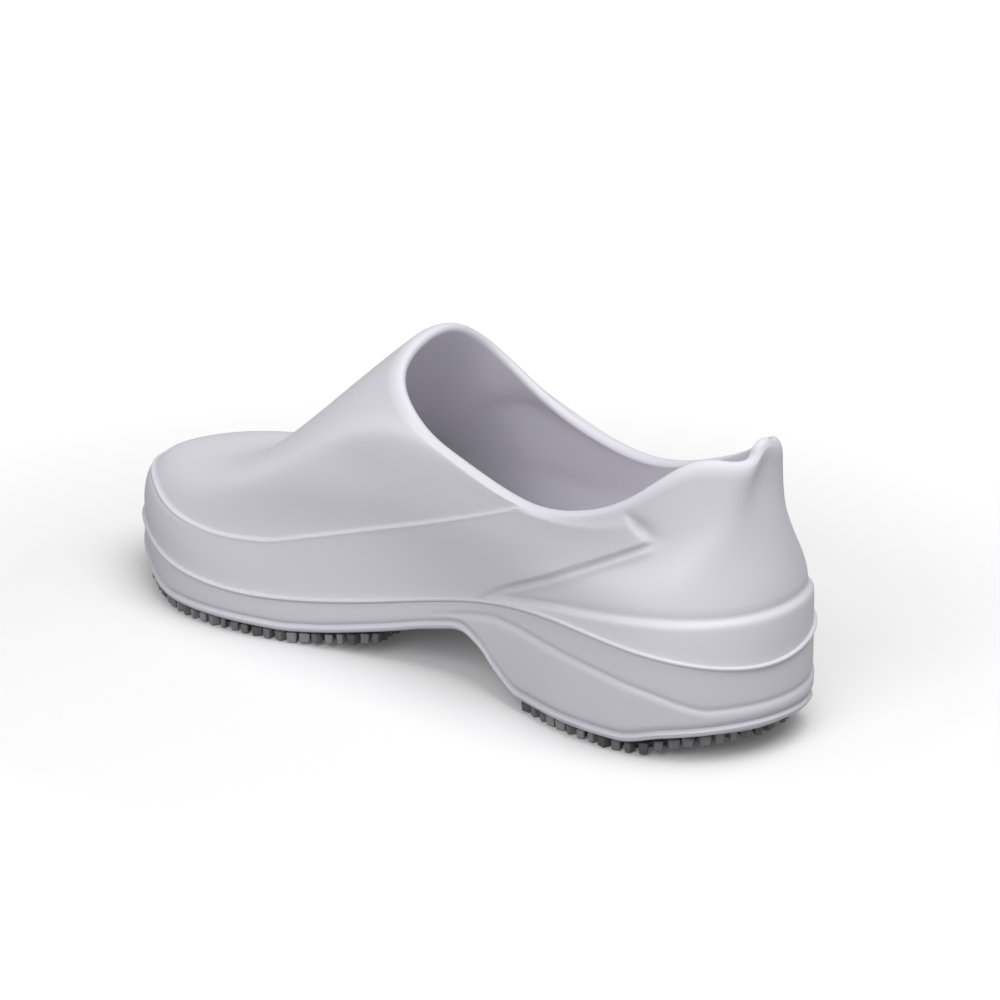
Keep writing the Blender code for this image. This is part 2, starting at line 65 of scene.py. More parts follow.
MM = 0.001
BODY = "root"
RANDOM_SEED = 7
WHITE = (1.0, 1.0, 1.0, 1.0)
EVEN_SPREAD = ((0.0, 1.0), (1.0, 1.0))
FINE_STEPS = 801
SMALLEST = 1e-12
Pair = tuple[float, float]
Triple = tuple[float, float, float]


# Lines that run along the shoe


class Line(Enum):
    """A line along the shoe, as rows of x and height, the same on both sides."""

    UNDERSIDE = (
        (136.0, 12.0), (114.0, 8.2), (82.0, 4.0), (37.0, 4.0), (24.0, 5.2), (2.0, 9.4), (-18.0, 14.6),
        (-30.0, 17.0), (-39.0, 14.0), (-48.0, 8.2), (-59.0, 4.0), (-103.0, 4.0),
        (-118.0, 7.0), (-136.0, 10.0),
    )
    FOOTBED = (
        (136.0, 15.0), (112.0, 14.0), (82.0, 11.0), (47.0, 10.3), (22.0, 12.0), (7.0, 14.5),
        (-18.0, 19.0), (-33.0, 22.0), (-58.0, 24.0), (-136.0, 25.0),
    )
    HEEL_SWEEP = (
        (136.0, 17.0), (32.0, 11.5), (2.0, 14.5), (-23.0, 20.0), (-36.0, 23.5), (-52.0, 26.0),
        (-87.0, 25.0), (-113.0, 21.5), (-129.0, 16.5), (-136.0, 14.5),
    )
    MUDGUARD = (
        (136.0, 35.5), (110.0, 34.2), (91.0, 32.8), (76.0, 31.9), (61.0, 31.4), (43.0, 32.6),
        (26.0, 36.8), (3.0, 43.4), (-27.0, 52.8), (-60.0, 64.8), (-88.0, 81.0), (-136.0, 110.0),
    )
    FLAP_LOWER = (
        (136.0, -90.0), (-18.0, 10.0), (-40.0, 31.0), (-80.0, 50.2), (-108.0, 64.2), (-136.0, 79.0),
    )
    HEEL_LEDGE = (
        (136.0, -90.0), (-18.0, 10.0), (-38.0, 29.0), (-58.0, 34.5), (-88.0, 40.2), (-115.0, 43.3),
        (-136.0, 44.0),
    )

    def height(self, x: np.ndarray | float) -> np.ndarray:
        """Returns the line's height, with no overshoot between its rows.

        Args:
            x: Places along the shoe.

        Returns:
            The heights at those places.
        """
        rows = np.array(self.value)[::-1]
        steps = np.diff(rows[:, 0])
        slopes = np.diff(rows[:, 1]) / steps
        ahead, behind = slopes[1:], slopes[:-1]
        same_way = ahead * behind > 0.0
        inner = np.where(same_way, 2.0 * ahead * behind / np.where(same_way, ahead + behind, 1.0), 0.0)
        tangents = np.concatenate([slopes[:1], inner, slopes[-1:]])
        x = np.clip(x, rows[0, 0], rows[-1, 0])
        left = np.clip(np.searchsorted(rows[:, 0], x, side="right") - 1, 0, len(steps) - 1)
        step = steps[left]
        t = (x - rows[left, 0]) / step
        return (
            (1 + 2 * t) * (1 - t) ** 2 * rows[left, 1]
            + t * (1 - t) ** 2 * step * tangents[left]
            + t**2 * (3 - 2 * t) * rows[left + 1, 1]
            + t**2 * (t - 1) * step * tangents[left + 1]
        )

    def distance(self, x: np.ndarray, z: np.ndarray) -> np.ndarray:
        """Returns how far points lie above the line, square to it, seen from the side.

        Args:
            x: Places along the shoe.
            z: Heights of the points.

        Returns:
            Distances, positive above the line.
        """
        reach = 0.5
        slope = (self.height(x + reach) - self.height(x - reach)) / (2.0 * reach)
        return (z - self.height(x)) / np.sqrt(1.0 + slope**2)


# Tables of sections


@dataclass(frozen=True)
class SoleRow:
    """One section of the sole: per cent along, half widths in per cent of the ball, lip height."""

    along: float
    medial: float
    lateral: float
    lip: float


@dataclass(frozen=True)
class UpperRow:
    """One section of the upper, from the sole's lip to the collar.

    Collar is how far round the collar the section ends. An out field stands off the wall's foot, a share
    field goes from the wall's foot towards the collar, and a rise field is a height.
    """

    collar: float
    wall_out: float
    wall_rise: float
    shoulder_out: float
    shoulder_rise: float
    crown_share: float
    crown_out: float
    crown_rise: float
    ramp_share: float
    ramp_out: float
    ramp_rise: float
    throat_share: float
    throat_out: float
    throat_rise: float


@dataclass(frozen=True)
class CollarRow:
    """One point of the collar's rim on each side of the shoe."""

    x: float
    medial: float
    lateral: float
    medial_rise: float
    lateral_rise: float


@dataclass(frozen=True)
class TaperRow:
    """How far one side of the heel draws in towards its bottom edge, and between which places."""

    depth: float
    start: float
    start_fade: float
    end: float
    end_fade: float


SOLE_ROWS = (
    SoleRow(100.0, 3.5, -3.5, 20.0),
    SoleRow(97.8, 22.0, 20.5, 20.3),
    SoleRow(90.4, 38.0, 36.5, 20.3),
    SoleRow(80.0, 50.3, 46.0, 17.5),
    SoleRow(67.5, 48.0, 51.3, 15.2),
    SoleRow(52.8, 33.5, 49.0, 19.3),
    SoleRow(38.0, 26.5, 43.5, 28.6),
    SoleRow(21.3, 33.5, 35.5, 35.8),
    SoleRow(7.0, 31.5, 37.5, 34.0),
    SoleRow(0.0, 0.0, 0.0, 30.0),
)
UPPER_ROWS = (
    UpperRow(0.000, 1.0, 28.5, -1.5, 40.5, 0.20, 0.0, 43.5, 0.46, 0.0, 42.0, 0.76, 0.0, 80.0),
    UpperRow(0.050, 1.0, 28.5, -2.0, 39.5, 0.20, 0.0, 43.0, 0.46, 0.0, 43.0, 0.76, 0.0, 79.0),
    UpperRow(0.110, 1.0, 28.5, -3.0, 37.5, 0.22, 0.0, 43.5, 0.48, 0.0, 51.0, 0.77, 0.0, 77.0),
    UpperRow(0.180, 0.5, 26.0, -3.0, 36.0, 0.25, 0.0, 48.0, 0.50, 0.0, 59.0, 0.78, 0.0, 76.0),
    UpperRow(0.270, 0.0, 24.0, -2.0, 37.5, 0.25, 0.0, 51.0, 0.50, 0.0, 64.0, 0.78, 0.0, 78.0),
    UpperRow(0.390, 0.5, 32.0, 1.5, 45.0, 0.35, 1.0, 54.0, 0.62, 0.5, 62.5, 0.84, 0.0, 69.5),
    UpperRow(0.540, 1.5, 36.5, 3.5, 45.0, 0.40, 3.0, 53.0, 0.65, 1.5, 59.0, 0.85, 0.5, 64.0),
    UpperRow(0.720, 0.0, 42.0, 0.5, 49.0, 0.50, 1.0, 55.0, 0.70, 0.5, 60.0, 0.88, 0.0, 66.0),
    UpperRow(0.880, 0.0, 41.0, -0.5, 49.0, 0.50, 1.5, 58.0, 0.80, 1.0, 67.0, 0.95, 0.0, 76.0),
    UpperRow(1.000, 0.0, 39.0, -0.5, 48.0, 0.40, -2.0, 60.0, 0.60, -3.0, 72.0, 0.90, -3.0, 85.0),
)
COLLAR_ROWS = (
    CollarRow(6.0, 0.0, 0.0, 102.6, 102.6),
    CollarRow(3.0, 21.5, 20.0, 93.2, 93.2),
    CollarRow(-10.5, 28.0, 27.0, 81.0, 81.2),
    CollarRow(-29.0, 28.5, 29.5, 73.0, 72.8),
    CollarRow(-58.0, 29.0, 29.0, 65.5, 68.5),
    CollarRow(-84.0, 29.5, 28.0, 67.5, 73.0),
    CollarRow(-104.0, 26.5, 25.0, 76.0, 80.0),
    CollarRow(-119.0, 18.0, 18.0, 86.8, 88.0),
    CollarRow(-127.5, 9.5, 9.0, 86.8, 90.0),
    CollarRow(-129.8, 3.5, 4.0, 88.0, 91.5),
    CollarRow(-130.0, 0.0, 0.0, 91.5, 91.5),
)
INNER_TAPER = TaperRow(depth=4.0, start=-95.0, start_fade=22.0, end=-136.0, end_fade=20.0)
OUTER_TAPER = TaperRow(depth=2.5, start=-66.0, start_fade=10.0, end=-118.0, end_fade=10.0)
TAPER_BLEND = 16.0


def column(rows: Sequence[SoleRow | UpperRow | CollarRow], name: str) -> np.ndarray:
    """Returns one field of a table's rows as an array."""
    return np.array([getattr(row, name) for row in rows], float)


# Curves and blends


def smooth_step(value: np.ndarray, middle: float = 0.0, reach: float = 1.0) -> np.ndarray:
    """Returns 0 from a reach below the middle, 1 from a reach above it, and a soft ramp between."""
    t = np.clip(0.5 * ((value - middle) / reach + 1.0), 0.0, 1.0)
    return t * t * (3.0 - 2.0 * t)


def faded_in(x: np.ndarray, ends: Pair) -> np.ndarray:
    """Returns 0 ahead of the first end and 1 behind the second, with a smooth change between."""
    return smooth_step((sum(ends) / 2.0 - x) / (ends[0] - ends[1]) * 2.0)


def bell(value: np.ndarray, middle: float = 0.0, reach: float = 1.0) -> np.ndarray:
    """Returns a soft bump that is 1 at the middle and fades by about two reaches from it."""
    return np.exp(-(((value - middle) / reach) ** 2))


def heel_taper(x: np.ndarray, y: np.ndarray) -> np.ndarray:
    """Works out how far the sole's bottom edge lies inside its lip.

    Args:
        x: Places along the shoe.
        y: Places across the shoe.

    Returns:
        Distances inwards, 0 away from the heel.
    """
    depths = []
    for row in (INNER_TAPER, OUTER_TAPER):
        begun = smooth_step((row.start - x) / row.start_fade)
        depths.append(row.depth * begun * smooth_step((x - row.end) / row.end_fade))
    inner, outer = depths
    return outer + (inner - outer) * smooth_step(y / TAPER_BLEND)


def crowd_ends(count: int, crowding: float = 0.8) -> np.ndarray:
    """Returns shares from 0 to 1 that lie closer together near both ends.

    Args:
        count: Number of shares, both ends among them.
        crowding: From 0, even, to nearly 1.

    Returns:
        The shares, in order.
    """
    t = np.linspace(0.0, 1.0, count)
    return t - crowding * np.sin(2.0 * math.pi * t) / (2.0 * math.pi)


def closed_spline(knots: np.ndarray, values: np.ndarray, at: np.ndarray) -> np.ndarray:
    """Returns a smooth closed curve, of period 1, through values.

    Args:
        knots: Places of the values round the loop, from 0.
        values: What the curve goes through.
        at: Places to read the curve at.

    Returns:
        The curve's values at those places.
    """
    steps = np.diff(np.append(knots, knots[0] + 1.0))
    before = np.roll(steps, 1)
    slopes = (np.roll(values, -1) - values) / steps
    count = len(values)
    system = np.diag(2.0 * (before + steps))
    for i in range(count):
        system[i, (i - 1) % count] += before[i]
        system[i, (i + 1) % count] += steps[i]
    bends = np.linalg.solve(system, 6.0 * (slopes - np.roll(slopes, 1)))
    at = np.asarray(at, float) % 1.0
    left = np.clip(np.searchsorted(knots, at, side="right") - 1, 0, count - 1)
    right = (left + 1) % count
    step = steps[left]
    from_left = (at - knots[left]) / step
    to_right = 1.0 - from_left
    bend = (to_right**3 - to_right) * bends[left] + (from_left**3 - from_left) * bends[right]
    return to_right * values[left] + from_left * values[right] + step**2 / 6.0 * bend


def spline_weights(count: int, at: np.ndarray) -> np.ndarray:
    """Returns the cubic B-spline weights of control rings, clamped at both ends.

    Args:
        count: Number of control rings.
        at: Shares of the way from the first ring to the last.

    Returns:
        Weights, with one more axis than at, first, for the rings.
    """
    degree = 3
    just_below_end = 1.0 - 1e-9
    inner = np.linspace(0.0, 1.0, count - degree + 1)
    knots = np.concatenate([np.zeros(degree), inner, np.ones(degree)])
    at = np.clip(at, 0.0, just_below_end)
    weights = [((knots[i] <= at) & (at < knots[i + 1])).astype(float) for i in range(len(knots) - 1)]
    for order in range(1, degree + 1):
        raised = []
        for i in range(len(knots) - 1 - order):
            rise = knots[i + order] - knots[i]
            fall = knots[i + order + 1] - knots[i + 1]
            up = weights[i] * (at - knots[i]) / rise if rise > 0 else 0.0
            down = weights[i + 1] * (knots[i + order + 1] - at) / fall if fall > 0 else 0.0
            raised.append(up + down)
        weights = raised
    return np.stack(weights)


def loop_knots(half_points: np.ndarray) -> np.ndarray:
    """Returns the knots round a closed loop whose two sides share the half's spacing.

    Args:
        half_points: Points of one half, from toe to heel.

    Returns:
        The knots, from 0 up to below 1.
    """
    chords = np.sqrt(np.linalg.norm(np.diff(half_points, axis=0), axis=1))
    half = np.concatenate([[0.0], np.cumsum(chords)]) / (2.0 * chords.sum())
    return np.concatenate([half, 1.0 - half[-2:0:-1]])


def round_loop(near: np.ndarray, far: np.ndarray) -> np.ndarray:
    """Returns a column as it goes round the loop: toe to heel on one side, back on the other."""
    return np.concatenate([near, far[-2:0:-1]])


def crowded_columns(count: int, density: tuple[Pair, ...]) -> np.ndarray:
    """Returns places round the loop that lie closer together where the density is higher.

    Args:
        count: Number of places, an even number.
        density: Rows of share of the way from toe to heel, and relative density.

    Returns:
        The places, from 0 up to below 1.
    """
    half, weight = np.array(density).T
    fine = np.linspace(0.0, 1.0, FINE_STEPS)
    filled = np.concatenate([[0.0], np.cumsum(np.interp(fine, half, weight))[:-1]])
    side = np.interp(np.linspace(0.0, filled[-1], count // 2 + 1), filled, fine) / 2.0
    return np.concatenate([side, 1.0 - side[-2:0:-1]])


def soft_least(first: np.ndarray, second: np.ndarray, radius: float) -> np.ndarray:
    """Returns the lesser of two distances, with the corner between them rounded."""
    blend = np.clip(0.5 + 0.5 * (second - first) / radius, 0.0, 1.0)
    return second + (first - second) * blend - radius * blend * (1.0 - blend)


def unit(vectors: np.ndarray) -> np.ndarray:
    """Returns vectors of length 1, along the last axis."""
    return vectors / np.maximum(np.linalg.norm(vectors, axis=-1, keepdims=True), SMALLEST)


# The forms that the pieces share


@dataclass
class Last:
    """The sole's outline, the collar and the upper's plain surface, at columns round the shoe."""

    at: np.ndarray
    length: float = 272.0
    ball_width: float = 98.0
    feather_inset: float = 2.6
    foot_gap: float = -0.1

    def __post_init__(self) -> None:
        """Places the columns, from the toe along the inner side to the heel and back."""
        x = (column(SOLE_ROWS, "along") / 100.0 - 0.5) * self.length
        medial = column(SOLE_ROWS, "medial") * self.ball_width / 100.0
        lateral = column(SOLE_ROWS, "lateral") * self.ball_width / 100.0
        self.knots = loop_knots(np.column_stack([x, (medial + lateral) / 2.0]))
        along, across = round_loop(x, x), round_loop(medial, -lateral)
        self.x = closed_spline(self.knots, along, self.at)
        self.y = closed_spline(self.knots, across, self.at)
        self.lip = self.section_loop(column(SOLE_ROWS, "lip"))
        step = 1e-4
        dx = closed_spline(self.knots, along, self.at + step) - self.x
        dy = closed_spline(self.knots, across, self.at + step) - self.y
        turn = np.sign(np.sum(dx * self.y - dy * self.x)) / np.hypot(dx, dy)
        self.out_x = -dy * turn
        self.out_y = dx * turn

    @classmethod
    def even(cls, count: int) -> "Last":
        """Returns the forms at a number of evenly spread columns."""
        return cls(crowded_columns(count, EVEN_SPREAD))

    def section_loop(self, values: np.ndarray) -> np.ndarray:
        """Returns a value that is the same on both sides of the shoe, at every column."""
        return closed_spline(self.knots, round_loop(values, values), self.at)

    def ring(self, offset: np.ndarray | float, height: np.ndarray | float) -> np.ndarray:
        """Returns the outline moved outwards.

        Args:
            offset: How far outwards, for all columns or for each.
            height: The ring's height, for all columns or for each.

        Returns:
            One point for each column.
        """
        height = np.broadcast_to(height, self.x.shape)
        return np.column_stack([self.x + self.out_x * offset, self.y + self.out_y * offset, height])

    def collar(self) -> np.ndarray:
        """Works out the middle of the collar's rim.

        Returns:
            One point for each column.
        """
        names = ("x", "medial", "lateral", "medial_rise", "lateral_rise")
        x, medial, lateral, medial_rise, lateral_rise = (column(COLLAR_ROWS, name) for name in names)
        middle = (medial + lateral) / 2.0, (medial_rise + lateral_rise) / 2.0
        knots = loop_knots(np.column_stack([x, *middle]))
        shares = column(UPPER_ROWS, "collar") / 2.0
        turn = round_loop(shares, 1.0 - shares) - self.knots
        at = self.at + closed_spline(self.knots, turn, self.at)
        sides = (round_loop(x, x), round_loop(medial, -lateral), round_loop(medial_rise, lateral_rise))
        return np.column_stack([closed_spline(knots, values, at) for values in sides])

    def control_rings(self) -> np.ndarray:
        """Works out the rings that pull the upper's surface, from the wall's foot to the collar.

        Returns:
            Points by ring and column.
        """
        foot = self.ring(-self.feather_inset, self.lip + self.foot_gap)
        collar = self.collar()
        rings = [foot]
        for name in ("wall", "shoulder", "crown", "ramp", "throat"):
            out = self.section_loop(column(UPPER_ROWS, name + "_out"))
            rise = self.section_loop(column(UPPER_ROWS, name + "_rise"))
            if name in ("wall", "shoulder"):
                rings.append(self.ring(out - self.feather_inset, rise))
                continue
            share = self.section_loop(column(UPPER_ROWS, name + "_share"))
            ring = foot + (collar - foot) * share[:, None]
            ring[:, 0] += self.out_x * out
            ring[:, 1] += self.out_y * out
            ring[:, 2] = rise
            rings.append(ring)
        rings.append(collar)
        return np.stack(rings)

    def upper_surface(self, shares: np.ndarray) -> np.ndarray:
        """Returns the plain outer surface.

        Args:
            shares: Shares of the way up, one row for each ring.

        Returns:
            Points by ring and column.
        """
        controls = self.control_rings()
        return np.einsum("krc,kcd->rcd", spline_weights(len(controls), shares), controls)

    def upper_normals(self, shares: np.ndarray, reach: float) -> np.ndarray:
        """Returns the plain surface's outward unit normals.

        Args:
            shares: Shares of the way up, one row for each ring.
            reach: Share of the way up and down over which the surface's slope is taken.

        Returns:
            Normals by ring and column.
        """
        controls = self.control_rings()
        across = np.roll(controls, -1, axis=1) - np.roll(controls, 1, axis=1)
        weights = spline_weights(len(controls), shares)
        around = np.einsum("krc,kcd->rcd", weights, across)
        higher = np.minimum(shares + reach, 1.0)
        lower = np.maximum(shares - reach, 0.0)
        normals = unit(np.cross(around, self.upper_surface(higher) - self.upper_surface(lower)))
        outward = np.sum(normals[0, :, 0] * self.out_x + normals[0, :, 1] * self.out_y)
        return normals * np.sign(outward)


# Meshes


def ring_faces(ring_count: int, column_count: int, closed: bool) -> np.ndarray:
    """Returns the four-sided faces between rings of vertices.

    Args:
        ring_count: Number of rings.
        column_count: Vertices in each ring.
        closed: Whether the last ring joins the first.

    Returns:
        Rows of four vertex numbers.
    """
    lower = np.arange(ring_count if closed else ring_count - 1)
    upper = (lower + 1) % ring_count
    first = np.arange(column_count)
    second = (first + 1) % column_count
    corners = [
        lower[:, None] * column_count + first,
        lower[:, None] * column_count + second,
        upper[:, None] * column_count + second,
        upper[:, None] * column_count + first,
    ]
    return np.stack(corners, axis=-1).reshape(-1, 4)


def cap_faces(ring: list[int], rungs: list[list[int]]) -> list[tuple[int, ...]]:
    """Returns the faces that fill a ring by rungs from one side of the shoe to the other.

    Args:
        ring: The ring's vertex numbers.
        rungs: For each pair of facing columns, the vertex numbers between them.

    Returns:
        The faces' vertex numbers.
    """
    count = len(ring)
    rows = [[ring[i], *rungs[i - 1], ring[count - i]] for i in range(1, count // 2)]
    faces: list[tuple[int, ...]] = []
    for first, second in zip(rows, rows[1:]):
        for k in range(len(first) - 1):
            faces.append((first[k], first[k + 1], second[k + 1], second[k]))
    faces.append((ring[0], *rows[0]))
    faces.append((ring[count // 2], *reversed(rows[-1])))
    return faces


def fill_ends(
    rings: np.ndarray, first_end: tuple[Line, float], last_end: tuple[Line, float], rung_count: int
) -> tuple[np.ndarray, list[tuple[int, ...]]]:
    """Closes the first and last of a stack of rings with rungs that follow lines along the shoe.

    Args:
        rings: Points by ring and column.
        first_end: The line that the first ring's filling follows, and how far above it that lies.
        last_end: The same for the last ring.
        rung_count: Points on each rung between the two sides.

    Returns:
        All points, and all faces.
    """
    ring_count, column_count, _ = rings.shape
    points = [rings.reshape(-1, 3)]
    faces: list[tuple[int, ...]] = [tuple(face) for face in ring_faces(ring_count, column_count, False)]
    total = ring_count * column_count
    shares = np.linspace(0.0, 1.0, rung_count + 2)[1:-1, None]
    for number, (line, lift) in ((0, first_end), (ring_count - 1, last_end)):
        ring = rings[number]
        rungs = []
        for i in range(1, column_count // 2):
            row = ring[i] + (ring[column_count - i] - ring[i]) * shares
            row[:, 2] = line.height(row[:, 0]) + lift
            points.append(row)
            rungs.append(list(range(total, total + rung_count)))
            total += rung_count
        start = number * column_count
        faces.extend(cap_faces(list(range(start, start + column_count)), rungs))
    return np.vstack(points), faces


def outward_mesh(
    name: str, points: np.ndarray, faces: Sequence[Sequence[int]], values: dict[str, np.ndarray]
) -> bpy.types.Mesh:
    """Makes a mesh with its faces outwards and values at its points.

    Args:
        name: The mesh's name.
        points: Its points, in millimetres.
        faces: Vertex numbers of its faces.
        values: Its point attributes by name.

    Returns:
        The mesh, in metres.
    """
    data = bpy.data.meshes.new(name)
    data.from_pydata((points * MM).tolist(), [], [tuple(int(i) for i in face) for face in faces])
    mesh = bmesh.new()
    mesh.from_mesh(data)
    bmesh.ops.recalc_face_normals(mesh, faces=mesh.faces)
    mesh.to_mesh(data)
    mesh.free()
    for title, numbers in values.items():
        attribute = data.attributes.new(title, "FLOAT", "POINT")
        attribute.data.foreach_set("value", numbers.astype(np.float32))
    return data


def linked_object(name: str, data: bpy.types.ID) -> bpy.types.Object:
    """Makes an object and links it to the scene.

    Args:
        name: The object's name.
        data: Its mesh, light or camera.

    Returns:
        The object, at the origin.
    """
    made = bpy.data.objects.new(name, data)
    bpy.context.scene.collection.objects.link(made)
    return made


def shell_object(
    name: str,
    points: np.ndarray,
    faces: Sequence[Sequence[int]],
    painted_shade_and_tone: np.ndarray,
    material: bpy.types.Material,
    sharp_angle: float = 60.0,
) -> bpy.types.Object:
    """Makes a smooth shaded object from points and faces, with its faces outwards.

    Args:
        name: The piece's name.
        points: Its points, in millimetres.
        faces: Vertex numbers of its faces.
        painted_shade_and_tone: How much painted shade darkens each point's colour in grooves, from 0 to 1.
        material: Its finish.
        sharp_angle: Edges sharper than this, in degrees, stay sharp.

    Returns:
        The object, at the origin.
    """
    data = outward_mesh(name, points, faces, {"painted_shade_and_tone": painted_shade_and_tone})
    data.shade_smooth()
    data.set_sharp_from_angle(angle=math.radians(sharp_angle))
    data.materials.append(material)
    return linked_object(name, data)


def enter_piece(piece: bpy.types.Object, node: str) -> None:
    """Puts a piece in the frame in place of its solid and reports it.

    Args:
        piece: The finished piece.
        node: The solid that it stands for.
    """
    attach(piece, BODY)
    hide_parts(node)
    LOG.info("%s: %d faces, for %s", piece.name, len(piece.data.polygons), node)


# Finishes


COAT_ROUGHNESS = 0.25
WAVE_WEIGHT = 4.0


def set_inputs(node: bpy.types.Node, **inputs: object) -> None:
    """Sets a node's inputs by name, with spaces written as underscores."""
    for name, value in inputs.items():
        node.inputs[name.replace("_", " ")].default_value = value


class NodeBoard:
    """A node tree with short calls to add and join its nodes."""

    def __init__(self, tree: bpy.types.NodeTree) -> None:
        """Keeps the tree to work on."""
        self.tree = tree

    def socket(self, name: str, way: str, kind: str) -> bpy.types.NodeTreeInterfaceSocket:
        """Adds a socket to the tree's own inputs or outputs."""
        return self.tree.interface.new_socket(name, in_out=way, socket_type="NodeSocket" + kind)

    def add(self, kind: str, **inputs: object) -> bpy.types.Node:
        """Adds a node and sets its inputs by name, with spaces written as underscores.

        Args:
            kind: The node's type.
            **inputs: Values of its input sockets.

        Returns:
            The new node.
        """
        node = self.tree.nodes.new(kind)
        set_inputs(node, **inputs)
        return node

    def blend(self, first: Triple, second: Triple) -> bpy.types.Node:
        """Adds a mix of two colours.

        Args:
            first: The colour at 0.
            second: The colour at 1.

        Returns:
            The new node.
        """
        node = self.add("ShaderNodeMix")
        node.data_type = "RGBA"
        set_inputs(node, A=(*first, 1.0), B=(*second, 1.0))
        return node

    def join(self, start: bpy.types.Node, output: str | int, end: bpy.types.Node, entry: str | int) -> None:
        """Links an output of one node to an input of another, each by its name or number."""
        self.tree.links.new(start.outputs[output], end.inputs[entry])


def moulded_grain() -> bpy.types.NodeTree:
    """Builds, once, the shader group for the fine skin and slow unevenness of a moulded surface.

    Returns:
        The group. It takes Vector, Grain Scale and Wave Scale, and gives Height and Wave.
    """
    name = "moulded_grain"
    if name in bpy.data.node_groups:
        return bpy.data.node_groups[name]
    board = NodeBoard(bpy.data.node_groups.new(name, "ShaderNodeTree"))
    board.socket("Vector", "INPUT", "Vector")
    for title in ("Grain Scale", "Wave Scale"):
        board.socket(title, "INPUT", "Float")
    for title in ("Height", "Wave"):
        board.socket(title, "OUTPUT", "Float")
    start = board.add("NodeGroupInput")
    end = board.add("NodeGroupOutput")
    grain = board.add("ShaderNodeTexNoise", Detail=2.0, Roughness=0.55)
    wave = board.add("ShaderNodeTexNoise", Detail=1.0, Roughness=0.4)
    height = board.add("ShaderNodeMath")
    height.operation = "MULTIPLY_ADD"
    height.inputs[1].default_value = WAVE_WEIGHT
    for texture, scale in ((grain, "Grain Scale"), (wave, "Wave Scale")):
        board.join(start, "Vector", texture, "Vector")
        board.join(start, scale, texture, "Scale")
    board.join(wave, "Fac", height, 0)
    board.join(grain, "Fac", height, 2)
    board.join(height, "Value", end, "Height")
    board.join(wave, "Fac", end, "Wave")
    return board.tree


@dataclass(frozen=True)
class Finish:
    """A moulded finish: its colour, a darker colour for painted shade and random tone, gloss and grain."""

    name: str
    colour: Triple
    painted_shade_colour: Triple
    roughness: Pair
    coat: float
    grain_scale: float
    wave_scale: float
    bump_distance: float
    bump_strength: float

    def material(self) -> bpy.types.Material:
        """Builds the finish as a material.

        Returns:
            A material that reads Object coordinates and the pieces' attribute of painted shade and random
            tone.
        """
        material = bpy.data.materials.new(self.name)
        material.use_nodes = True
        board = NodeBoard(material.node_tree)
        shader = material.node_tree.nodes["Principled BSDF"]
        set_inputs(shader, Metallic=0.0, Coat_Weight=self.coat, Coat_Roughness=COAT_ROUGHNESS)
        place = board.add("ShaderNodeTexCoord")
        grain = board.add("ShaderNodeGroup")
        grain.node_tree = moulded_grain()
        set_inputs(grain, Grain_Scale=self.grain_scale, Wave_Scale=self.wave_scale)
        # Painted shade: the attribute mixes the colour towards the darker one in grooves and on the tread's
        # plate, where shade falls. On tread blocks it gives a random tone.
        tint = board.blend(self.colour, self.painted_shade_colour)
        painted_shade_and_tone = board.add("ShaderNodeAttribute")
        painted_shade_and_tone.attribute_name = "painted_shade_and_tone"
        gloss = board.add("ShaderNodeMapRange", To_Min=self.roughness[0], To_Max=self.roughness[1])
        bump = board.add("ShaderNodeBump", Strength=self.bump_strength, Distance=self.bump_distance)
        board.join(place, "Object", grain, "Vector")
        board.join(painted_shade_and_tone, "Fac", tint, "Factor")
        board.join(tint, "Result", shader, "Base Color")
        board.join(grain, "Wave", gloss, "Value")
        board.join(gloss, "Result", shader, "Roughness")
        board.join(grain, "Height", bump, "Height")
        board.join(bump, "Normal", shader, "Normal")
        return material


# The second colour of each finish is painted shade, mixed in where grooves and the tread's plate lie in
# shade. Tread blocks take a random share of it as tone.
UPPER_FOAM = Finish(
    "white_upper_foam", colour=(0.74, 0.727, 0.79), painted_shade_colour=(0.58, 0.57, 0.62),
    roughness=(0.46, 0.60), coat=0.04, grain_scale=1500.0, wave_scale=40.0,
    bump_distance=0.00004, bump_strength=0.35,
)
SOLE_FOAM = Finish(
    "white_sole_foam", colour=(0.72, 0.707, 0.77), painted_shade_colour=(0.56, 0.55, 0.60),
    roughness=(0.48, 0.62), coat=0.03, grain_scale=1300.0, wave_scale=45.0,
    bump_distance=0.00005, bump_strength=0.40,
)
FOOTBED_FOAM = Finish(
    "white_footbed_foam", colour=(0.82, 0.81, 0.84), painted_shade_colour=(0.66, 0.65, 0.68),
    roughness=(0.70, 0.85), coat=0.0, grain_scale=700.0, wave_scale=60.0,
    bump_distance=0.00015, bump_strength=0.60,
)
TREAD_RUBBER = Finish(
    "grey_tread_rubber", colour=(0.34, 0.34, 0.36), painted_shade_colour=(0.035, 0.035, 0.04),
    roughness=(0.55, 0.80), coat=0.0, grain_scale=900.0, wave_scale=120.0,
    bump_distance=0.0001, bump_strength=0.60,
)


# The upper


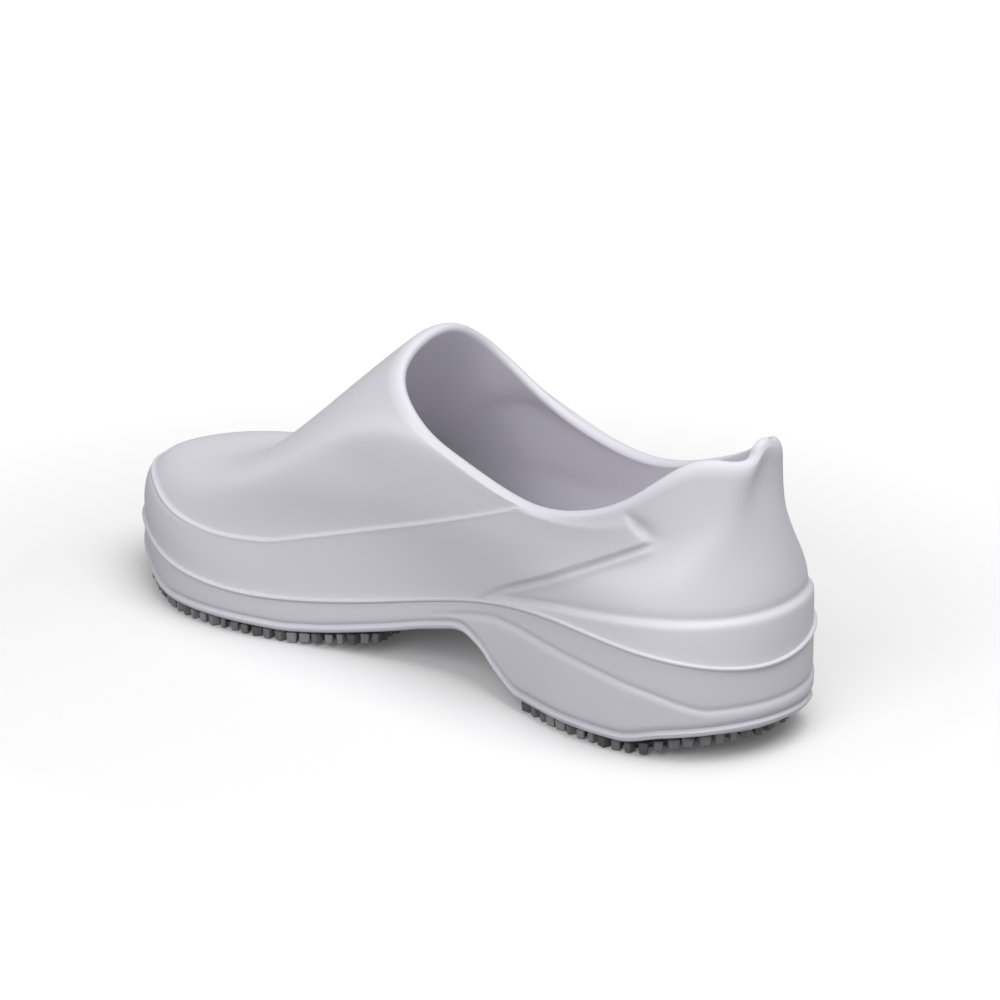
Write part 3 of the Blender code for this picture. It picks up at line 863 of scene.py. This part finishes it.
@dataclass
class Upper:
    """The hollow foam upper, with its mudguard band, flap, heel ledge, collar rim and pull tab.

    A pair that goes to bell or smooth_step is the middle of that bump or ramp and its reach.
    """

    wall: float = 4.2
    column_count: int = 440
    column_density: tuple[Pair, ...] = (
        (0.0, 1.0), (0.5, 1.0), (0.64, 1.5), (0.76, 2.6), (0.88, 2.6), (0.94, 1.3), (1.0, 1.2),
    )
    band_rings: tuple[int, ...] = (14, 20, 30, 62)
    trial_rings: int = 301
    least_band: float = 0.05
    inner_rings: int = 34
    rim_rings: tuple[int, int] = (9, 6)
    rim_drop: float = 3.0
    rim_height: float = 2.1
    rim_inner_round: float = 1.6
    edge_smoothing: int = 9
    slope_reach: float = 0.04
    wall_slope_reach: float = 0.16
    toe_swell: float = 1.2
    toe_along: Pair = (90.0, 30.0)
    toe_across: Pair = (22.0, 18.0)
    side_hollow: float = 0.7
    hollow_along: Pair = (8.0, 14.0)
    hollow_up: Pair = (63.0, 9.0)
    hollow_side: Pair = (0.0, 8.0)
    guard_step: float = 1.0
    guard_edge: Pair = (1.8, 0.7)
    guard_sharp_from: Pair = (95.0, 55.0)
    guard_ridge: float = 0.5
    ridge_width: float = 0.5
    flap_edge: float = 0.8
    flap_round: float = 2.0
    flap_top: Pair = (-97.0, 76.0)
    flap_tip: Pair = (-108.5, 64.5)
    flap_end: Pair = (1.0, 2.0)
    flap_groove: float = 0.4
    flap_groove_up: Pair = (-0.6, 0.8)
    flap_lift: float = 0.7
    flap_lift_up: Pair = (-2.4, 1.1)
    notch_depth: float = 1.5
    notch_width: float = 2.8
    notch_edge: Pair = (0.2, 0.7)
    notch_low: Pair = (2.0, 2.5)
    notch_high: Pair = (-3.5, 2.0)
    ledge_step: float = 1.5
    ledge_edge: float = 1.5
    ledge_groove: float = 0.4
    ledge_groove_up: Pair = (1.1, 0.9)
    groove_start: Pair = (-40.0, -62.0)
    groove_shade: float = 0.5
    relief_ends: float = 0.95
    relief_fade: float = 0.04

    def ring_shares(self, last: Last) -> np.ndarray:
        """Returns shares of the way up for the outer rings, which crowd along the three moulded edges.

        Args:
            last: The shared forms at this piece's columns.

        Returns:
            Shares by ring and column.
        """
        trial = np.linspace(0.0, 1.0, self.trial_rings)
        points = last.upper_surface(trial[:, None] * np.ones(len(last.at)))
        edges = [np.zeros(len(last.at))]
        lines = (Line.HEEL_LEDGE, Line.FLAP_LOWER, Line.MUDGUARD)
        for number, line in enumerate(lines):
            below = line.distance(points[..., 0], points[..., 2]) < 0.0
            crossing = np.mean(below, axis=0)
            room = self.least_band * (len(lines) - number)
            spread = range(-(self.edge_smoothing // 2), self.edge_smoothing // 2 + 1)
            smoothed = np.mean([np.roll(crossing, shift) for shift in spread], axis=0)
            edges.append(np.clip(smoothed, edges[-1] + self.least_band, 1.0 - room))
        edges.append(np.ones(len(last.at)))
        shares = []
        for low, high, count in zip(edges, edges[1:], self.band_rings):
            steps = crowd_ends(count + 1)[:-1]
            shares.append(low + (high - low) * steps[:, None])
        return np.vstack([*shares, edges[-1][None, :]])

    def behind_flap(self, x: np.ndarray, z: np.ndarray) -> np.ndarray:
        """Works out how far points lie behind the flap's back edge, seen from the side.

        Args:
            x: Places along the shoe.
            z: Heights of the points.

        Returns:
            Distances, positive behind the edge.
        """
        run = self.flap_top[0] - self.flap_tip[0]
        rise = self.flap_top[1] - self.flap_tip[1]
        return ((z - self.flap_tip[1]) * run - (x - self.flap_tip[0]) * rise) / math.hypot(run, rise)

    def relief(self, points: np.ndarray) -> tuple[np.ndarray, np.ndarray]:
        """Works out the moulded steps and grooves.

        Args:
            points: The plain surface.

        Returns:
            How far the skin stands off the plain surface, and how much painted shade darkens its colour in
            the grooves and the flap's notch, from 0 to 1.
        """
        x, y, z = points[..., 0], points[..., 1], points[..., 2]
        over_guard = Line.MUDGUARD.distance(x, z)
        over_flap = Line.FLAP_LOWER.distance(x, z)
        over_ledge = Line.HEEL_LEDGE.distance(x, z)
        behind = self.behind_flap(x, z)
        started = faded_in(x, self.groove_start)
        flap = smooth_step(soft_least(over_flap, -behind, self.flap_round) / self.flap_edge)
        sharp = faded_in(x, self.guard_sharp_from)
        edge = self.guard_edge[0] + (self.guard_edge[1] - self.guard_edge[0]) * sharp
        band = flap * smooth_step(-over_guard / edge)
        ridge = flap * bell(over_guard / self.ridge_width)
        ledge = smooth_step(-over_ledge / self.ledge_edge)
        under_flap = started * smooth_step(-behind, *self.flap_end)
        flap_groove = bell(over_flap, *self.flap_groove_up) * under_flap
        flap_lift = bell(over_flap, *self.flap_lift_up) * under_flap
        notch_span = smooth_step(z - self.flap_tip[1], *self.notch_low)
        notch_span = notch_span * smooth_step(self.flap_top[1] - z, *self.notch_high)
        notch = smooth_step(behind, *self.notch_edge) * bell(behind / self.notch_width) * notch_span
        ledge_groove = bell(over_ledge, *self.ledge_groove_up) * started
        stand = np.maximum(self.guard_step * band + self.guard_ridge * ridge, self.ledge_step * ledge)
        swell = bell(x, *self.toe_along) * bell(y, *self.toe_across)
        hollow = bell(x, *self.hollow_along) * bell(z, *self.hollow_up) * smooth_step(y, *self.hollow_side)
        stand = stand + self.toe_swell * swell - self.side_hollow * hollow
        stand = stand - self.flap_groove * flap_groove + self.flap_lift * flap_lift
        stand = stand - self.notch_depth * notch - self.ledge_groove * ledge_groove
        # Painted shade: the flap's notch and the grooves under the flap and over the ledge are darkened in
        # colour where shade falls.
        painted_shade_and_tone = np.clip(notch + self.groove_shade * (flap_groove + ledge_groove), 0.0, 1.0)
        return stand, painted_shade_and_tone

    def rim_roll(self, below_rim: np.ndarray) -> np.ndarray:
        """Returns how far the rim's outer round has turned in, at a distance below the rim."""
        sunk = np.clip(self.rim_drop - below_rim, 0.0, self.rim_drop) / (self.rim_drop + self.rim_height)
        return (self.wall - self.rim_inner_round) * (1.0 - np.sqrt(1.0 - sunk**2))

    def rim(self, rim_in: np.ndarray, out: np.ndarray, up: np.ndarray) -> np.ndarray:
        """Rounds the collar's rim, long and soft on the outside and tight on the inside.

        Args:
            rim_in: The wall's inner edge at every column.
            out: Unit vectors from there through the wall.
            up: Unit vectors up the wall.

        Returns:
            Points by ring and column, from the outside to the inside.
        """
        tall = self.rim_drop + self.rim_height
        across = self.wall - self.rim_inner_round
        rings = []
        for turn in np.linspace(math.asin(self.rim_drop / tall), math.pi / 2.0, self.rim_rings[0])[1:]:
            width = self.rim_inner_round + across * math.cos(turn)
            rings.append(rim_in + out * width + up * (tall * math.sin(turn) - self.rim_drop))
        for turn in np.linspace(0.0, math.pi / 2.0, self.rim_rings[1])[1:]:
            width = self.rim_inner_round * (1.0 - math.sin(turn))
            rise = self.rim_height - self.rim_inner_round * (1.0 - math.cos(turn))
            rings.append(rim_in + out * width + up * rise)
        return np.stack(rings)

    def rings(self, last: Last) -> tuple[np.ndarray, np.ndarray]:
        """Returns the closed skin: the outside from foot to collar, the rim, and the inside back down.

        Args:
            last: The shared forms at this piece's columns.

        Returns:
            Points by ring and column, and how much painted shade darkens each.
        """
        shares = self.ring_shares(last)
        plain = last.upper_surface(shares)
        stand, painted_shade_and_tone = self.relief(plain)
        fade = smooth_step((self.relief_ends - shares) / self.relief_fade)
        stand = stand * fade - self.rim_roll(np.linalg.norm(plain - plain[-1], axis=2))
        outside = plain + last.upper_normals(shares, self.slope_reach) * stand[..., None]
        levels = np.linspace(0.0, 1.0, self.inner_rings)[:, None] * np.ones(len(last.at))
        middle = last.upper_surface(levels)
        outward = last.upper_normals(levels, self.wall_slope_reach)
        outward[0] = unit(outward[0] * [1.0, 1.0, 0.0])
        inside = middle - outward * self.wall
        below = last.upper_surface(levels[-1:] - self.wall_slope_reach)[0]
        rim = self.rim(inside[-1], outward[-1], unit(plain[-1] - below))
        skin = np.concatenate([outside, rim, inside[::-1]])
        painted_shading = np.zeros(skin.shape[:2])
        painted_shading[: len(painted_shade_and_tone)] = painted_shade_and_tone * fade
        return skin, painted_shading

    def build(self) -> None:
        """Makes the upper and puts it in the frame."""
        last = Last(crowded_columns(self.column_count, self.column_density))
        skin, painted_shading = self.rings(last)
        faces = ring_faces(len(skin), self.column_count, True)
        points = skin.reshape(-1, 3)
        piece = shell_object("foam_upper", points, faces, painted_shading.ravel(), UPPER_FOAM.material())
        enter_piece(piece, "upper")


# The sole


@dataclass(frozen=True)
class SideLevels:
    """Heights of the lines along the sole's side, and how far the sweep has come up, at every column."""

    edge: np.ndarray
    groove: np.ndarray
    sweep: np.ndarray
    under_lip: np.ndarray
    sweep_share: np.ndarray


@dataclass
class Sole:
    """The foam sole unit, with its lip, side band, grooves, bottom bead, arch and heel.

    A pair that goes to bell or smooth_step is the middle of that bump or ramp and its reach. A flange
    corner is how far it lies outside the flange's inner edge and above the lip.
    """

    column_count: int = 400
    bed_inset: float = 9.5
    flange_inset: float = 7.2
    flange_corners: tuple[Pair, ...] = ((-0.4, -0.8), (0.6, 0.0))
    lip_nose: float = 0.55
    undercut: float = 1.0
    nose_rings: int = 7
    side_start: float = 0.3
    side_rings: tuple[int, ...] = (22, 22, 14)
    belly: float = 0.25
    groove_above_edge: float = 2.8
    groove_depth: float = 0.5
    groove_width: float = 0.7
    groove_shade: float = 0.5
    sweep_room: float = 0.25
    sweep_step: float = 0.6
    sweep_softness: float = 1.6
    sweep_foot: Pair = (1.0, 1.2)
    sweep_groove: float = 0.4
    sweep_groove_up: Pair = (0.9, 0.8)
    sweep_fade: Pair = (-12.0, -34.0)
    bead: float = 0.6
    bead_fullness: float = 0.8
    bottom_round: float = 1.6
    bottom_rings: int = 5
    rungs: int = 12

    def side_offset(self, height: np.ndarray, side: SideLevels) -> tuple[np.ndarray, np.ndarray]:
        """Works out the side band's profile.

        Args:
            height: Heights of the points.
            side: The lines along the side.

        Returns:
            Offsets from the outline, and how much painted shade darkens each point in the grooves.
        """
        over_groove = height - side.groove
        share = np.clip(over_groove / (side.under_lip - side.groove), 0.0, 1.0)
        offset = -self.undercut + self.belly * np.sin(math.pi * share)
        proud = side.sweep_share * smooth_step((side.sweep - height) / self.sweep_softness)
        proud = proud * smooth_step(over_groove, *self.sweep_foot)
        sweep_groove = side.sweep_share * bell(height - side.sweep, *self.sweep_groove_up)
        rim_groove = bell(over_groove / self.groove_width)
        bead = np.clip(-over_groove / (side.groove - side.edge), 0.0, 1.0)
        offset = offset + self.sweep_step * proud - self.sweep_groove * sweep_groove
        offset = offset - self.groove_depth * rim_groove
        offset = offset + self.bead * np.sin(math.pi * bead**self.bead_fullness)
        # Painted shade: the rim groove and the sweep's groove are darkened in colour where shade falls.
        painted_shade_and_tone = np.clip(self.groove_shade * (rim_groove + sweep_groove), 0.0, 1.0)
        return offset, painted_shade_and_tone

    def rings(self, last: Last) -> tuple[np.ndarray, np.ndarray]:
        """Returns the side as rings, from the flange's inner edge over the lip to the bottom edge.

        Args:
            last: The shared forms at this piece's columns.

        Returns:
            Points by ring and column, and how much painted shade darkens each.
        """
        edge = Line.UNDERSIDE.height(last.x)
        groove = edge + self.groove_above_edge
        under_lip = last.lip - 2.0 * self.lip_nose
        room = self.sweep_room * (under_lip - groove)
        taper = heel_taper(last.x, last.y)
        sweep = np.clip(Line.HEEL_SWEEP.height(last.x), groove + room, under_lip - room)
        side = SideLevels(edge, groove, sweep, under_lip, faded_in(last.x, self.sweep_fade))
        rings = [last.ring(-self.bed_inset, Line.FOOTBED.height(last.x))]
        for out, up in self.flange_corners:
            rings.append(last.ring(out - self.flange_inset, last.lip + up))
        for turn in np.linspace(0.0, math.pi, self.nose_rings):
            offset = -self.lip_nose * (1.0 - math.sin(turn))
            rings.append(last.ring(offset, last.lip - self.lip_nose * (1.0 - math.cos(turn))))
        side_first = len(rings)
        side_painted_shade = []
        bottom = edge + self.bottom_round
        levels = (under_lip - self.side_start, sweep, groove, bottom)
        for high, low, count in zip(levels, levels[1:], self.side_rings):
            for share in crowd_ends(count + 1)[:-1]:
                height = high + (low - high) * share
                offset, painted_shading = self.side_offset(height, side)
                offset = offset - taper * (under_lip - height) / (under_lip - edge)
                rings.append(last.ring(offset, height))
                side_painted_shade.append(painted_shading)
        start = self.side_offset(bottom, side)[0] - taper
        for turn in np.linspace(0.0, math.pi / 2.0, self.bottom_rings):
            offset = start - self.bottom_round * (1.0 - math.cos(turn))
            rings.append(last.ring(offset, bottom - self.bottom_round * math.sin(turn)))
        painted_shade_and_tone = np.zeros((len(rings), len(last.at)))
        painted_shade_and_tone[side_first : side_first + len(side_painted_shade)] = side_painted_shade
        return np.stack(rings), painted_shade_and_tone

    def build(self) -> None:
        """Makes the sole and puts it in the frame."""
        last = Last.even(self.column_count)
        rings, painted_shading = self.rings(last)
        points, faces = fill_ends(rings, (Line.FOOTBED, 0.0), (Line.UNDERSIDE, 0.0), self.rungs)
        painted_shade_and_tone = np.zeros(len(points))
        painted_shade_and_tone[: painted_shading.size] = painted_shading.ravel()
        piece = shell_object("foam_sole", points, faces, painted_shade_and_tone, SOLE_FOAM.material())
        enter_piece(piece, "sole")


# The footbed


@dataclass
class Footbed:
    """The loose foam insole that lies in the sole's cup."""

    column_count: int = 240
    inset: float = 10.1
    gap: float = 0.3
    thickness: float = 3.5
    edge_round: float = 1.2
    edge_rings: int = 5
    rungs: int = 20
    fill: float = 0.95

    def build(self) -> None:
        """Makes the insole and puts it in the frame."""
        last = Last.even(self.column_count)
        floor = Line.FOOTBED.height(last.x) + self.gap
        top = floor + self.thickness
        rings = [last.ring(-self.inset, floor)]
        for turn in np.linspace(0.0, math.pi / 2.0, self.edge_rings):
            offset = -self.inset - self.edge_round * (1.0 - math.cos(turn))
            rings.append(last.ring(offset, top - self.edge_round * (1.0 - math.sin(turn))))
        ends = ((Line.FOOTBED, self.gap), (Line.FOOTBED, self.gap + self.thickness))
        points, faces = fill_ends(np.stack(rings), *ends, self.rungs)
        painted_shade_and_tone = np.zeros(len(points))
        piece = shell_object("foam_footbed", points, faces, painted_shade_and_tone, FOOTBED_FOAM.material())
        enter_piece(piece, "insole")


# The treads


@dataclass
class Tread:
    """One rubber tread: a plate under the sole with small uneven blocks all over it."""

    name: str
    node: str
    back: float
    front: float
    back_bow: float
    front_bow: float
    inset: float = 2.2
    gap: float = 0.5
    plate: float = 1.2
    plate_inset: float = 1.4
    plate_columns: int = 33
    row_step: float = 2.5
    column_count: int = 400
    edge_samples: int = 60
    heading_step: float = 1.0
    block_pitch: float = 4.4
    least_apart: float = 0.85
    block_width: float = 3.2
    block_height: float = 2.3
    block_root: float = 1.1
    block_taper: float = 0.86
    block_bevel: float = 0.3
    bevel_angle: float = 50.0
    block_shade: Pair = (0.0, 0.75)
    smallest_scale: Triple = (0.55, 0.85, 0.84)
    largest_scale: Triple = (1.18, 1.25, 1.0)
    block_skew: float = 0.6

    def plan(self, last: Last, margin: float, row_count: int, across: np.ndarray) -> np.ndarray:
        """Lays bowed rows inside the tread's outline.

        Args:
            last: The shared forms.
            margin: How far inside the tread's own outline the rows stay.
            row_count: Number of rows.
            across: Shares of the way from the outer side to the inner side.

        Returns:
            Plan points by row and share.
        """
        outline = last.ring(-self.inset - margin - heel_taper(last.x, last.y), 0.0)
        half = len(outline) // 2
        medial = outline[: half + 1]
        lateral = np.vstack([outline[half:], outline[:1]])
        middles = np.linspace(self.back + margin, self.front - margin, row_count)
        bows = np.linspace(self.back_bow, self.front_bow, row_count)
        rows = []
        for middle, bow in zip(middles, bows):
            sides = []
            for side in (lateral, medial):
                order = np.argsort(side[:, 0])
                sides.append(np.interp(middle - bow, side[order, 0], side[order, 1]))
            x = middle - bow * (2.0 * across - 1.0) ** 2
            rows.append(np.column_stack([x, sides[0] + (sides[1] - sides[0]) * across]))
        return np.stack(rows)

    def block_places(self, last: Last) -> tuple[np.ndarray, np.ndarray]:
        """Spreads the blocks: one line of them along the tread's edge, and rows that fill the rest.

        Args:
            last: The shared forms.

        Returns:
            Plan points of the blocks, and how far each is turned.
        """
        samples = self.edge_samples
        fine = self.plan(last, self.block_width / 2.0, samples, np.linspace(0.0, 1.0, samples))
        loop = np.vstack([fine[0], fine[:, -1], fine[-1, ::-1], fine[::-1, 0]])
        lengths = np.concatenate([[0.0], np.cumsum(np.linalg.norm(np.diff(loop, axis=0), axis=1))])
        count = round(lengths[-1] / self.block_pitch)
        stops = np.arange(count) * lengths[-1] / count
        edge, ahead = (
            np.column_stack([np.interp(at, lengths, loop[:, k]) for k in range(2)])
            for at in (stops, stops + self.heading_step)
        )
        heading = ahead - edge
        margin = self.block_width / 2.0 + self.block_pitch
        row_count = round((self.front - self.back - 2.0 * margin) / self.block_pitch) + 1
        width = np.ptp(fine[..., 1], axis=1).max() - 2.0 * self.block_pitch
        across = np.linspace(0.0, 1.0, round(width / self.block_pitch) + 1)
        inner = self.plan(last, margin, row_count, across).reshape(-1, 2)
        apart = np.linalg.norm(inner[:, None, :] - edge[None, :, :], axis=2).min(axis=1)
        inner = inner[apart > self.least_apart * self.block_pitch]
        turns = np.concatenate([np.arctan2(heading[:, 1], heading[:, 0]), np.zeros(len(inner))])
        return np.vstack([edge, inner]), turns

    def base_mesh(self, last: Last) -> bpy.types.Mesh:
        """Makes the plate, with one loose vertex at the root of each block.

        Args:
            last: The shared forms.

        Returns:
            A mesh with the attributes block, turn and painted_shade_and_tone: painted shade on the plate, a
            random tone on each block.
        """
        row_count = round((self.front - self.back) / self.row_step)
        across = np.linspace(0.0, 1.0, self.plate_columns)
        plan = self.plan(last, self.plate_inset, row_count, across)
        under = Line.UNDERSIDE.height(plan[..., 0]) - self.gap
        layers = [np.dstack([plan, under]), np.dstack([plan, under - self.plate])]
        numbers = np.arange(under.size).reshape(under.shape)
        corners = (numbers[:-1, :-1], numbers[1:, :-1], numbers[1:, 1:], numbers[:-1, 1:])
        top = np.stack(corners, axis=-1).reshape(-1, 4)
        bottom = top[:, [0, 3, 2, 1]] + under.size
        faces = np.stack([top, bottom], axis=1).reshape(-1, 4).tolist()
        rim = [*numbers[0, :-1], *numbers[:-1, -1], *numbers[-1, :0:-1], *numbers[:0:-1, 0]]
        for first, second in zip(rim, rim[1:] + rim[:1]):
            faces.append((first, second, second + under.size, first + under.size))
        places, turns = self.block_places(last)
        roots = Line.UNDERSIDE.height(places[:, 0]) - self.gap - self.plate
        layers.append(np.column_stack([places, roots]))
        points = np.vstack([layer.reshape(-1, 3) for layer in layers])
        plate_zeros = np.zeros(2 * under.size)
        # Painted shade: the plate between the blocks, seen only in shade, is coloured near black. Each
        # block gets a random darker tone.
        shade = np.random.default_rng(RANDOM_SEED).uniform(*self.block_shade, len(places))
        values = {
            "block": np.concatenate([plate_zeros, np.ones(len(places))]),
            "turn": np.concatenate([plate_zeros, turns]),
            "painted_shade_and_tone": np.concatenate([plate_zeros + 1.0, shade]),
        }
        return outward_mesh(self.name, points, faces, values)

    def block_tree(self, material: bpy.types.Material) -> tuple[bpy.types.NodeTree, dict[str, str]]:
        """Builds the geometry nodes that set a tapered block at each loose vertex.

        Args:
            material: The rubber.

        Returns:
            The tree, and the identifiers of its inputs by name.
        """
        board = NodeBoard(bpy.data.node_groups.new(self.name + "_blocks", "GeometryNodeTree"))
        board.socket("Geometry", "INPUT", "Geometry")
        names = ("Top Radius", "Bottom Radius", "Height", "Root")
        sockets = [board.socket(name, "INPUT", "Float") for name in names]
        sockets.append(board.socket("Seed", "INPUT", "Int"))
        board.socket("Geometry", "OUTPUT", "Geometry")
        start = board.add("NodeGroupInput")
        end = board.add("NodeGroupOutput")
        chosen = board.add("GeometryNodeInputNamedAttribute", Name="block")
        turned = board.add("GeometryNodeInputNamedAttribute", Name="turn")
        split = board.add("GeometryNodeSeparateGeometry")
        block = board.add("GeometryNodeMeshCone", Vertices=4)
        square = board.add("GeometryNodeTransform", Rotation=(0.0, 0.0, math.pi / 4.0))
        lowered = board.add("ShaderNodeMath")
        lowered.operation = "SUBTRACT"
        hang = board.add("ShaderNodeCombineXYZ")
        sizes = board.add("FunctionNodeRandomValue")
        sizes.data_type = "FLOAT_VECTOR"
        set_inputs(sizes, Min=self.smallest_scale, Max=self.largest_scale)
        skew = board.add("FunctionNodeRandomValue")
        skew.data_type = "FLOAT"
        skew.inputs[2].default_value = -self.block_skew
        skew.inputs[3].default_value = self.block_skew
        angle = board.add("ShaderNodeMath")
        spin = board.add("ShaderNodeCombineXYZ")
        place = board.add("GeometryNodeInstanceOnPoints")
        joined = board.add("GeometryNodeJoinGeometry")
        real = board.add("GeometryNodeRealizeInstances")
        rubber = board.add("GeometryNodeSetMaterial", Material=material)
        links = (
            (start, "Geometry", split, "Geometry"),
            (chosen, "Attribute", split, "Selection"),
            (start, "Top Radius", block, "Radius Top"),
            (start, "Bottom Radius", block, "Radius Bottom"),
            (start, "Height", block, "Depth"),
            (start, "Root", lowered, 0),
            (start, "Height", lowered, 1),
            (lowered, "Value", hang, "Z"),
            (hang, "Vector", square, "Translation"),
            (block, "Mesh", square, "Geometry"),
            (start, "Seed", sizes, "Seed"),
            (start, "Seed", skew, "Seed"),
            (turned, "Attribute", angle, 0),
            (skew, 1, angle, 1),
            (angle, "Value", spin, "Z"),
            (split, "Selection", place, "Points"),
            (square, "Geometry", place, "Instance"),
            (spin, "Vector", place, "Rotation"),
            (sizes, "Value", place, "Scale"),
            (place, "Instances", joined, "Geometry"),
            (split, "Inverted", joined, "Geometry"),
            (joined, "Geometry", real, "Geometry"),
            (real, "Geometry", rubber, "Geometry"),
            (rubber, "Geometry", end, "Geometry"),
        )
        for link in links:
            board.join(*link)
        return board.tree, {socket.name: socket.identifier for socket in sockets}

    def build(self) -> None:
        """Makes the tread and puts it in the frame."""
        material = TREAD_RUBBER.material()
        piece = linked_object(self.name, self.base_mesh(Last.even(self.column_count)))
        tree, inputs = self.block_tree(material)
        nodes = piece.modifiers.new("blocks", "NODES")
        nodes.node_group = tree
        half_diagonal = self.block_width / math.sqrt(2.0) * MM
        nodes[inputs["Top Radius"]] = half_diagonal
        nodes[inputs["Bottom Radius"]] = half_diagonal * self.block_taper
        nodes[inputs["Height"]] = (self.block_height + self.block_root) * MM
        nodes[inputs["Root"]] = self.block_root * MM
        nodes[inputs["Seed"]] = RANDOM_SEED
        bevel = piece.modifiers.new("soft_edges", "BEVEL")
        bevel.width = self.block_bevel * MM
        bevel.segments = 1
        bevel.limit_method = "ANGLE"
        bevel.angle_limit = math.radians(self.bevel_angle)
        shown = piece.evaluated_get(bpy.context.evaluated_depsgraph_get())
        finished = bpy.data.meshes.new_from_object(shown)
        piece.modifiers.clear()
        piece.data = finished
        enter_piece(piece, self.node)


FOREFOOT_TREAD = Tread(
    "rubber_tread_forefoot", "outsole_forefoot", back=12.0, front=127.0, back_bow=9.0, front_bow=11.0
)
HEEL_TREAD = Tread(
    "rubber_tread_heel", "outsole_heel", back=-129.0, front=-53.0, back_bow=-17.0, front_bow=6.0, inset=2.6
)


# The stage


@dataclass(frozen=True)
class SoftBox:
    """A square studio light: where it is, its side, its power and what it points at."""

    name: str
    place: Triple
    side: float
    watts: float
    target: Triple = (0.0, 0.0, 0.05)

    def build(self) -> None:
        """Makes the light."""
        data = bpy.data.lights.new(self.name, "AREA")
        data.shape = "SQUARE"
        data.size = self.side
        data.energy = self.watts
        light = linked_object(self.name, data)
        light.location = self.place
        aim = Vector(self.target) - Vector(self.place)
        light.rotation_euler = aim.to_track_quat("-Z", "Y").to_euler()


@dataclass
class Stage:
    """The pale floor, the studio light and the camera at the photograph's angle."""

    floor_size: float = 14.0
    floor_colour: Triple = (0.90, 0.90, 0.90)
    floor_bounce: Triple = (0.40, 0.40, 0.40)
    floor_roughness: float = 0.9
    floor_sheen: float = 0.1
    floor_glow: Pair = (0.06, 0.9)
    glow_reach: Pair = (0.16, 0.8)
    world_strength: float = 0.34
    boxes: tuple[SoftBox, ...] = (
        SoftBox("fill_box", (-0.6, 1.3, 1.0), side=1.0, watts=11.0),
        SoftBox("top_box", (-0.6, 0.0, 1.6), side=1.3, watts=17.0),
    )
    azimuth: float = 227.4
    elevation: float = 20.0
    distance: float = 1.0495
    aim: Triple = (0.002, 0.0, 0.0)
    sensor: float = 36.0
    focal_length: float = 118.98
    shift: Pair = (0.0514, 0.1387)

    def floor_material(self) -> bpy.types.Material:
        """Builds the floor's finish, which glows away from the shoe for the camera alone.

        Returns:
            The material.
        """
        material = bpy.data.materials.new("pale_floor")
        material.use_nodes = True
        shader = material.node_tree.nodes["Principled BSDF"]
        set_inputs(shader, Roughness=self.floor_roughness, Specular_IOR_Level=self.floor_sheen)
        set_inputs(shader, Emission_Color=WHITE)
        board = NodeBoard(material.node_tree)
        place = board.add("ShaderNodeTexCoord")
        away = board.add("ShaderNodeVectorMath")
        away.operation = "LENGTH"
        glow = board.add("ShaderNodeMapRange", From_Min=self.glow_reach[0], From_Max=self.glow_reach[1])
        set_inputs(glow, To_Min=self.floor_glow[0], To_Max=self.floor_glow[1])
        ray = board.add("ShaderNodeLightPath")
        seen = board.add("ShaderNodeMath")
        seen.operation = "MULTIPLY"
        tone = board.blend(self.floor_bounce, self.floor_colour)
        board.join(place, "Object", away, 0)
        board.join(away, "Value", glow, "Value")
        board.join(glow, "Result", seen, 0)
        board.join(ray, "Is Camera Ray", seen, 1)
        board.join(ray, "Is Camera Ray", tone, "Factor")
        board.join(tone, "Result", shader, "Base Color")
        board.join(seen, "Value", shader, "Emission Strength")
        return material

    def build_floor(self) -> None:
        """Makes the floor."""
        half = self.floor_size / 2.0
        data = bpy.data.meshes.new("floor")
        corners = [(-half, -half, 0.0), (half, -half, 0.0), (half, half, 0.0), (-half, half, 0.0)]
        data.from_pydata(corners, [], [(0, 1, 2, 3)])
        data.materials.append(self.floor_material())
        floor = linked_object("floor", data)

    def build_light(self) -> None:
        """Makes the surroundings, which the camera sees as white, and the soft boxes."""
        world = bpy.data.worlds.new("studio")
        world.use_nodes = True
        background = world.node_tree.nodes["Background"]
        set_inputs(background, Color=WHITE)
        board = NodeBoard(world.node_tree)
        ray = board.add("ShaderNodeLightPath")
        strength = board.add("ShaderNodeMapRange", To_Min=self.world_strength, To_Max=1.0)
        board.join(ray, "Is Camera Ray", strength, "Value")
        board.join(strength, "Result", background, "Strength")
        bpy.context.scene.world = world
        for box in self.boxes:
            box.build()

    def build_camera(self) -> None:
        """Makes the camera."""
        turn, lift = math.radians(self.azimuth), math.radians(self.elevation)
        back = Vector((math.sin(turn) * math.cos(lift), -math.cos(turn) * math.cos(lift), math.sin(lift)))
        right = Vector((math.cos(turn), math.sin(turn), 0.0))
        up = back.cross(right)
        data = bpy.data.cameras.new("camera")
        data.sensor_width = self.sensor
        data.lens = self.focal_length
        data.shift_x, data.shift_y = self.shift
        camera = linked_object("camera", data)
        turned = Matrix((right, up, back)).transposed().to_4x4()
        camera.matrix_world = Matrix.Translation(back * self.distance + Vector(self.aim)) @ turned
        bpy.context.scene.camera = camera

    def build(self) -> None:
        """Makes the whole stage, with plain colours in the picture."""
        bpy.context.scene.view_settings.view_transform = "Standard"
        self.build_floor()
        self.build_light()
        self.build_camera()


def main() -> None:
    """Builds the stage and the pieces in order."""
    logging.basicConfig(level=logging.INFO, format="%(message)s")
    for old in list(bpy.data.objects):
        bpy.data.objects.remove(old, do_unlink=True)
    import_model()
    Stage().build()
    Upper().build()
    Sole().build()
    Footbed().build()
    FOREFOOT_TREAD.build()
    HEEL_TREAD.build()


if __name__ == "__main__":
    main()
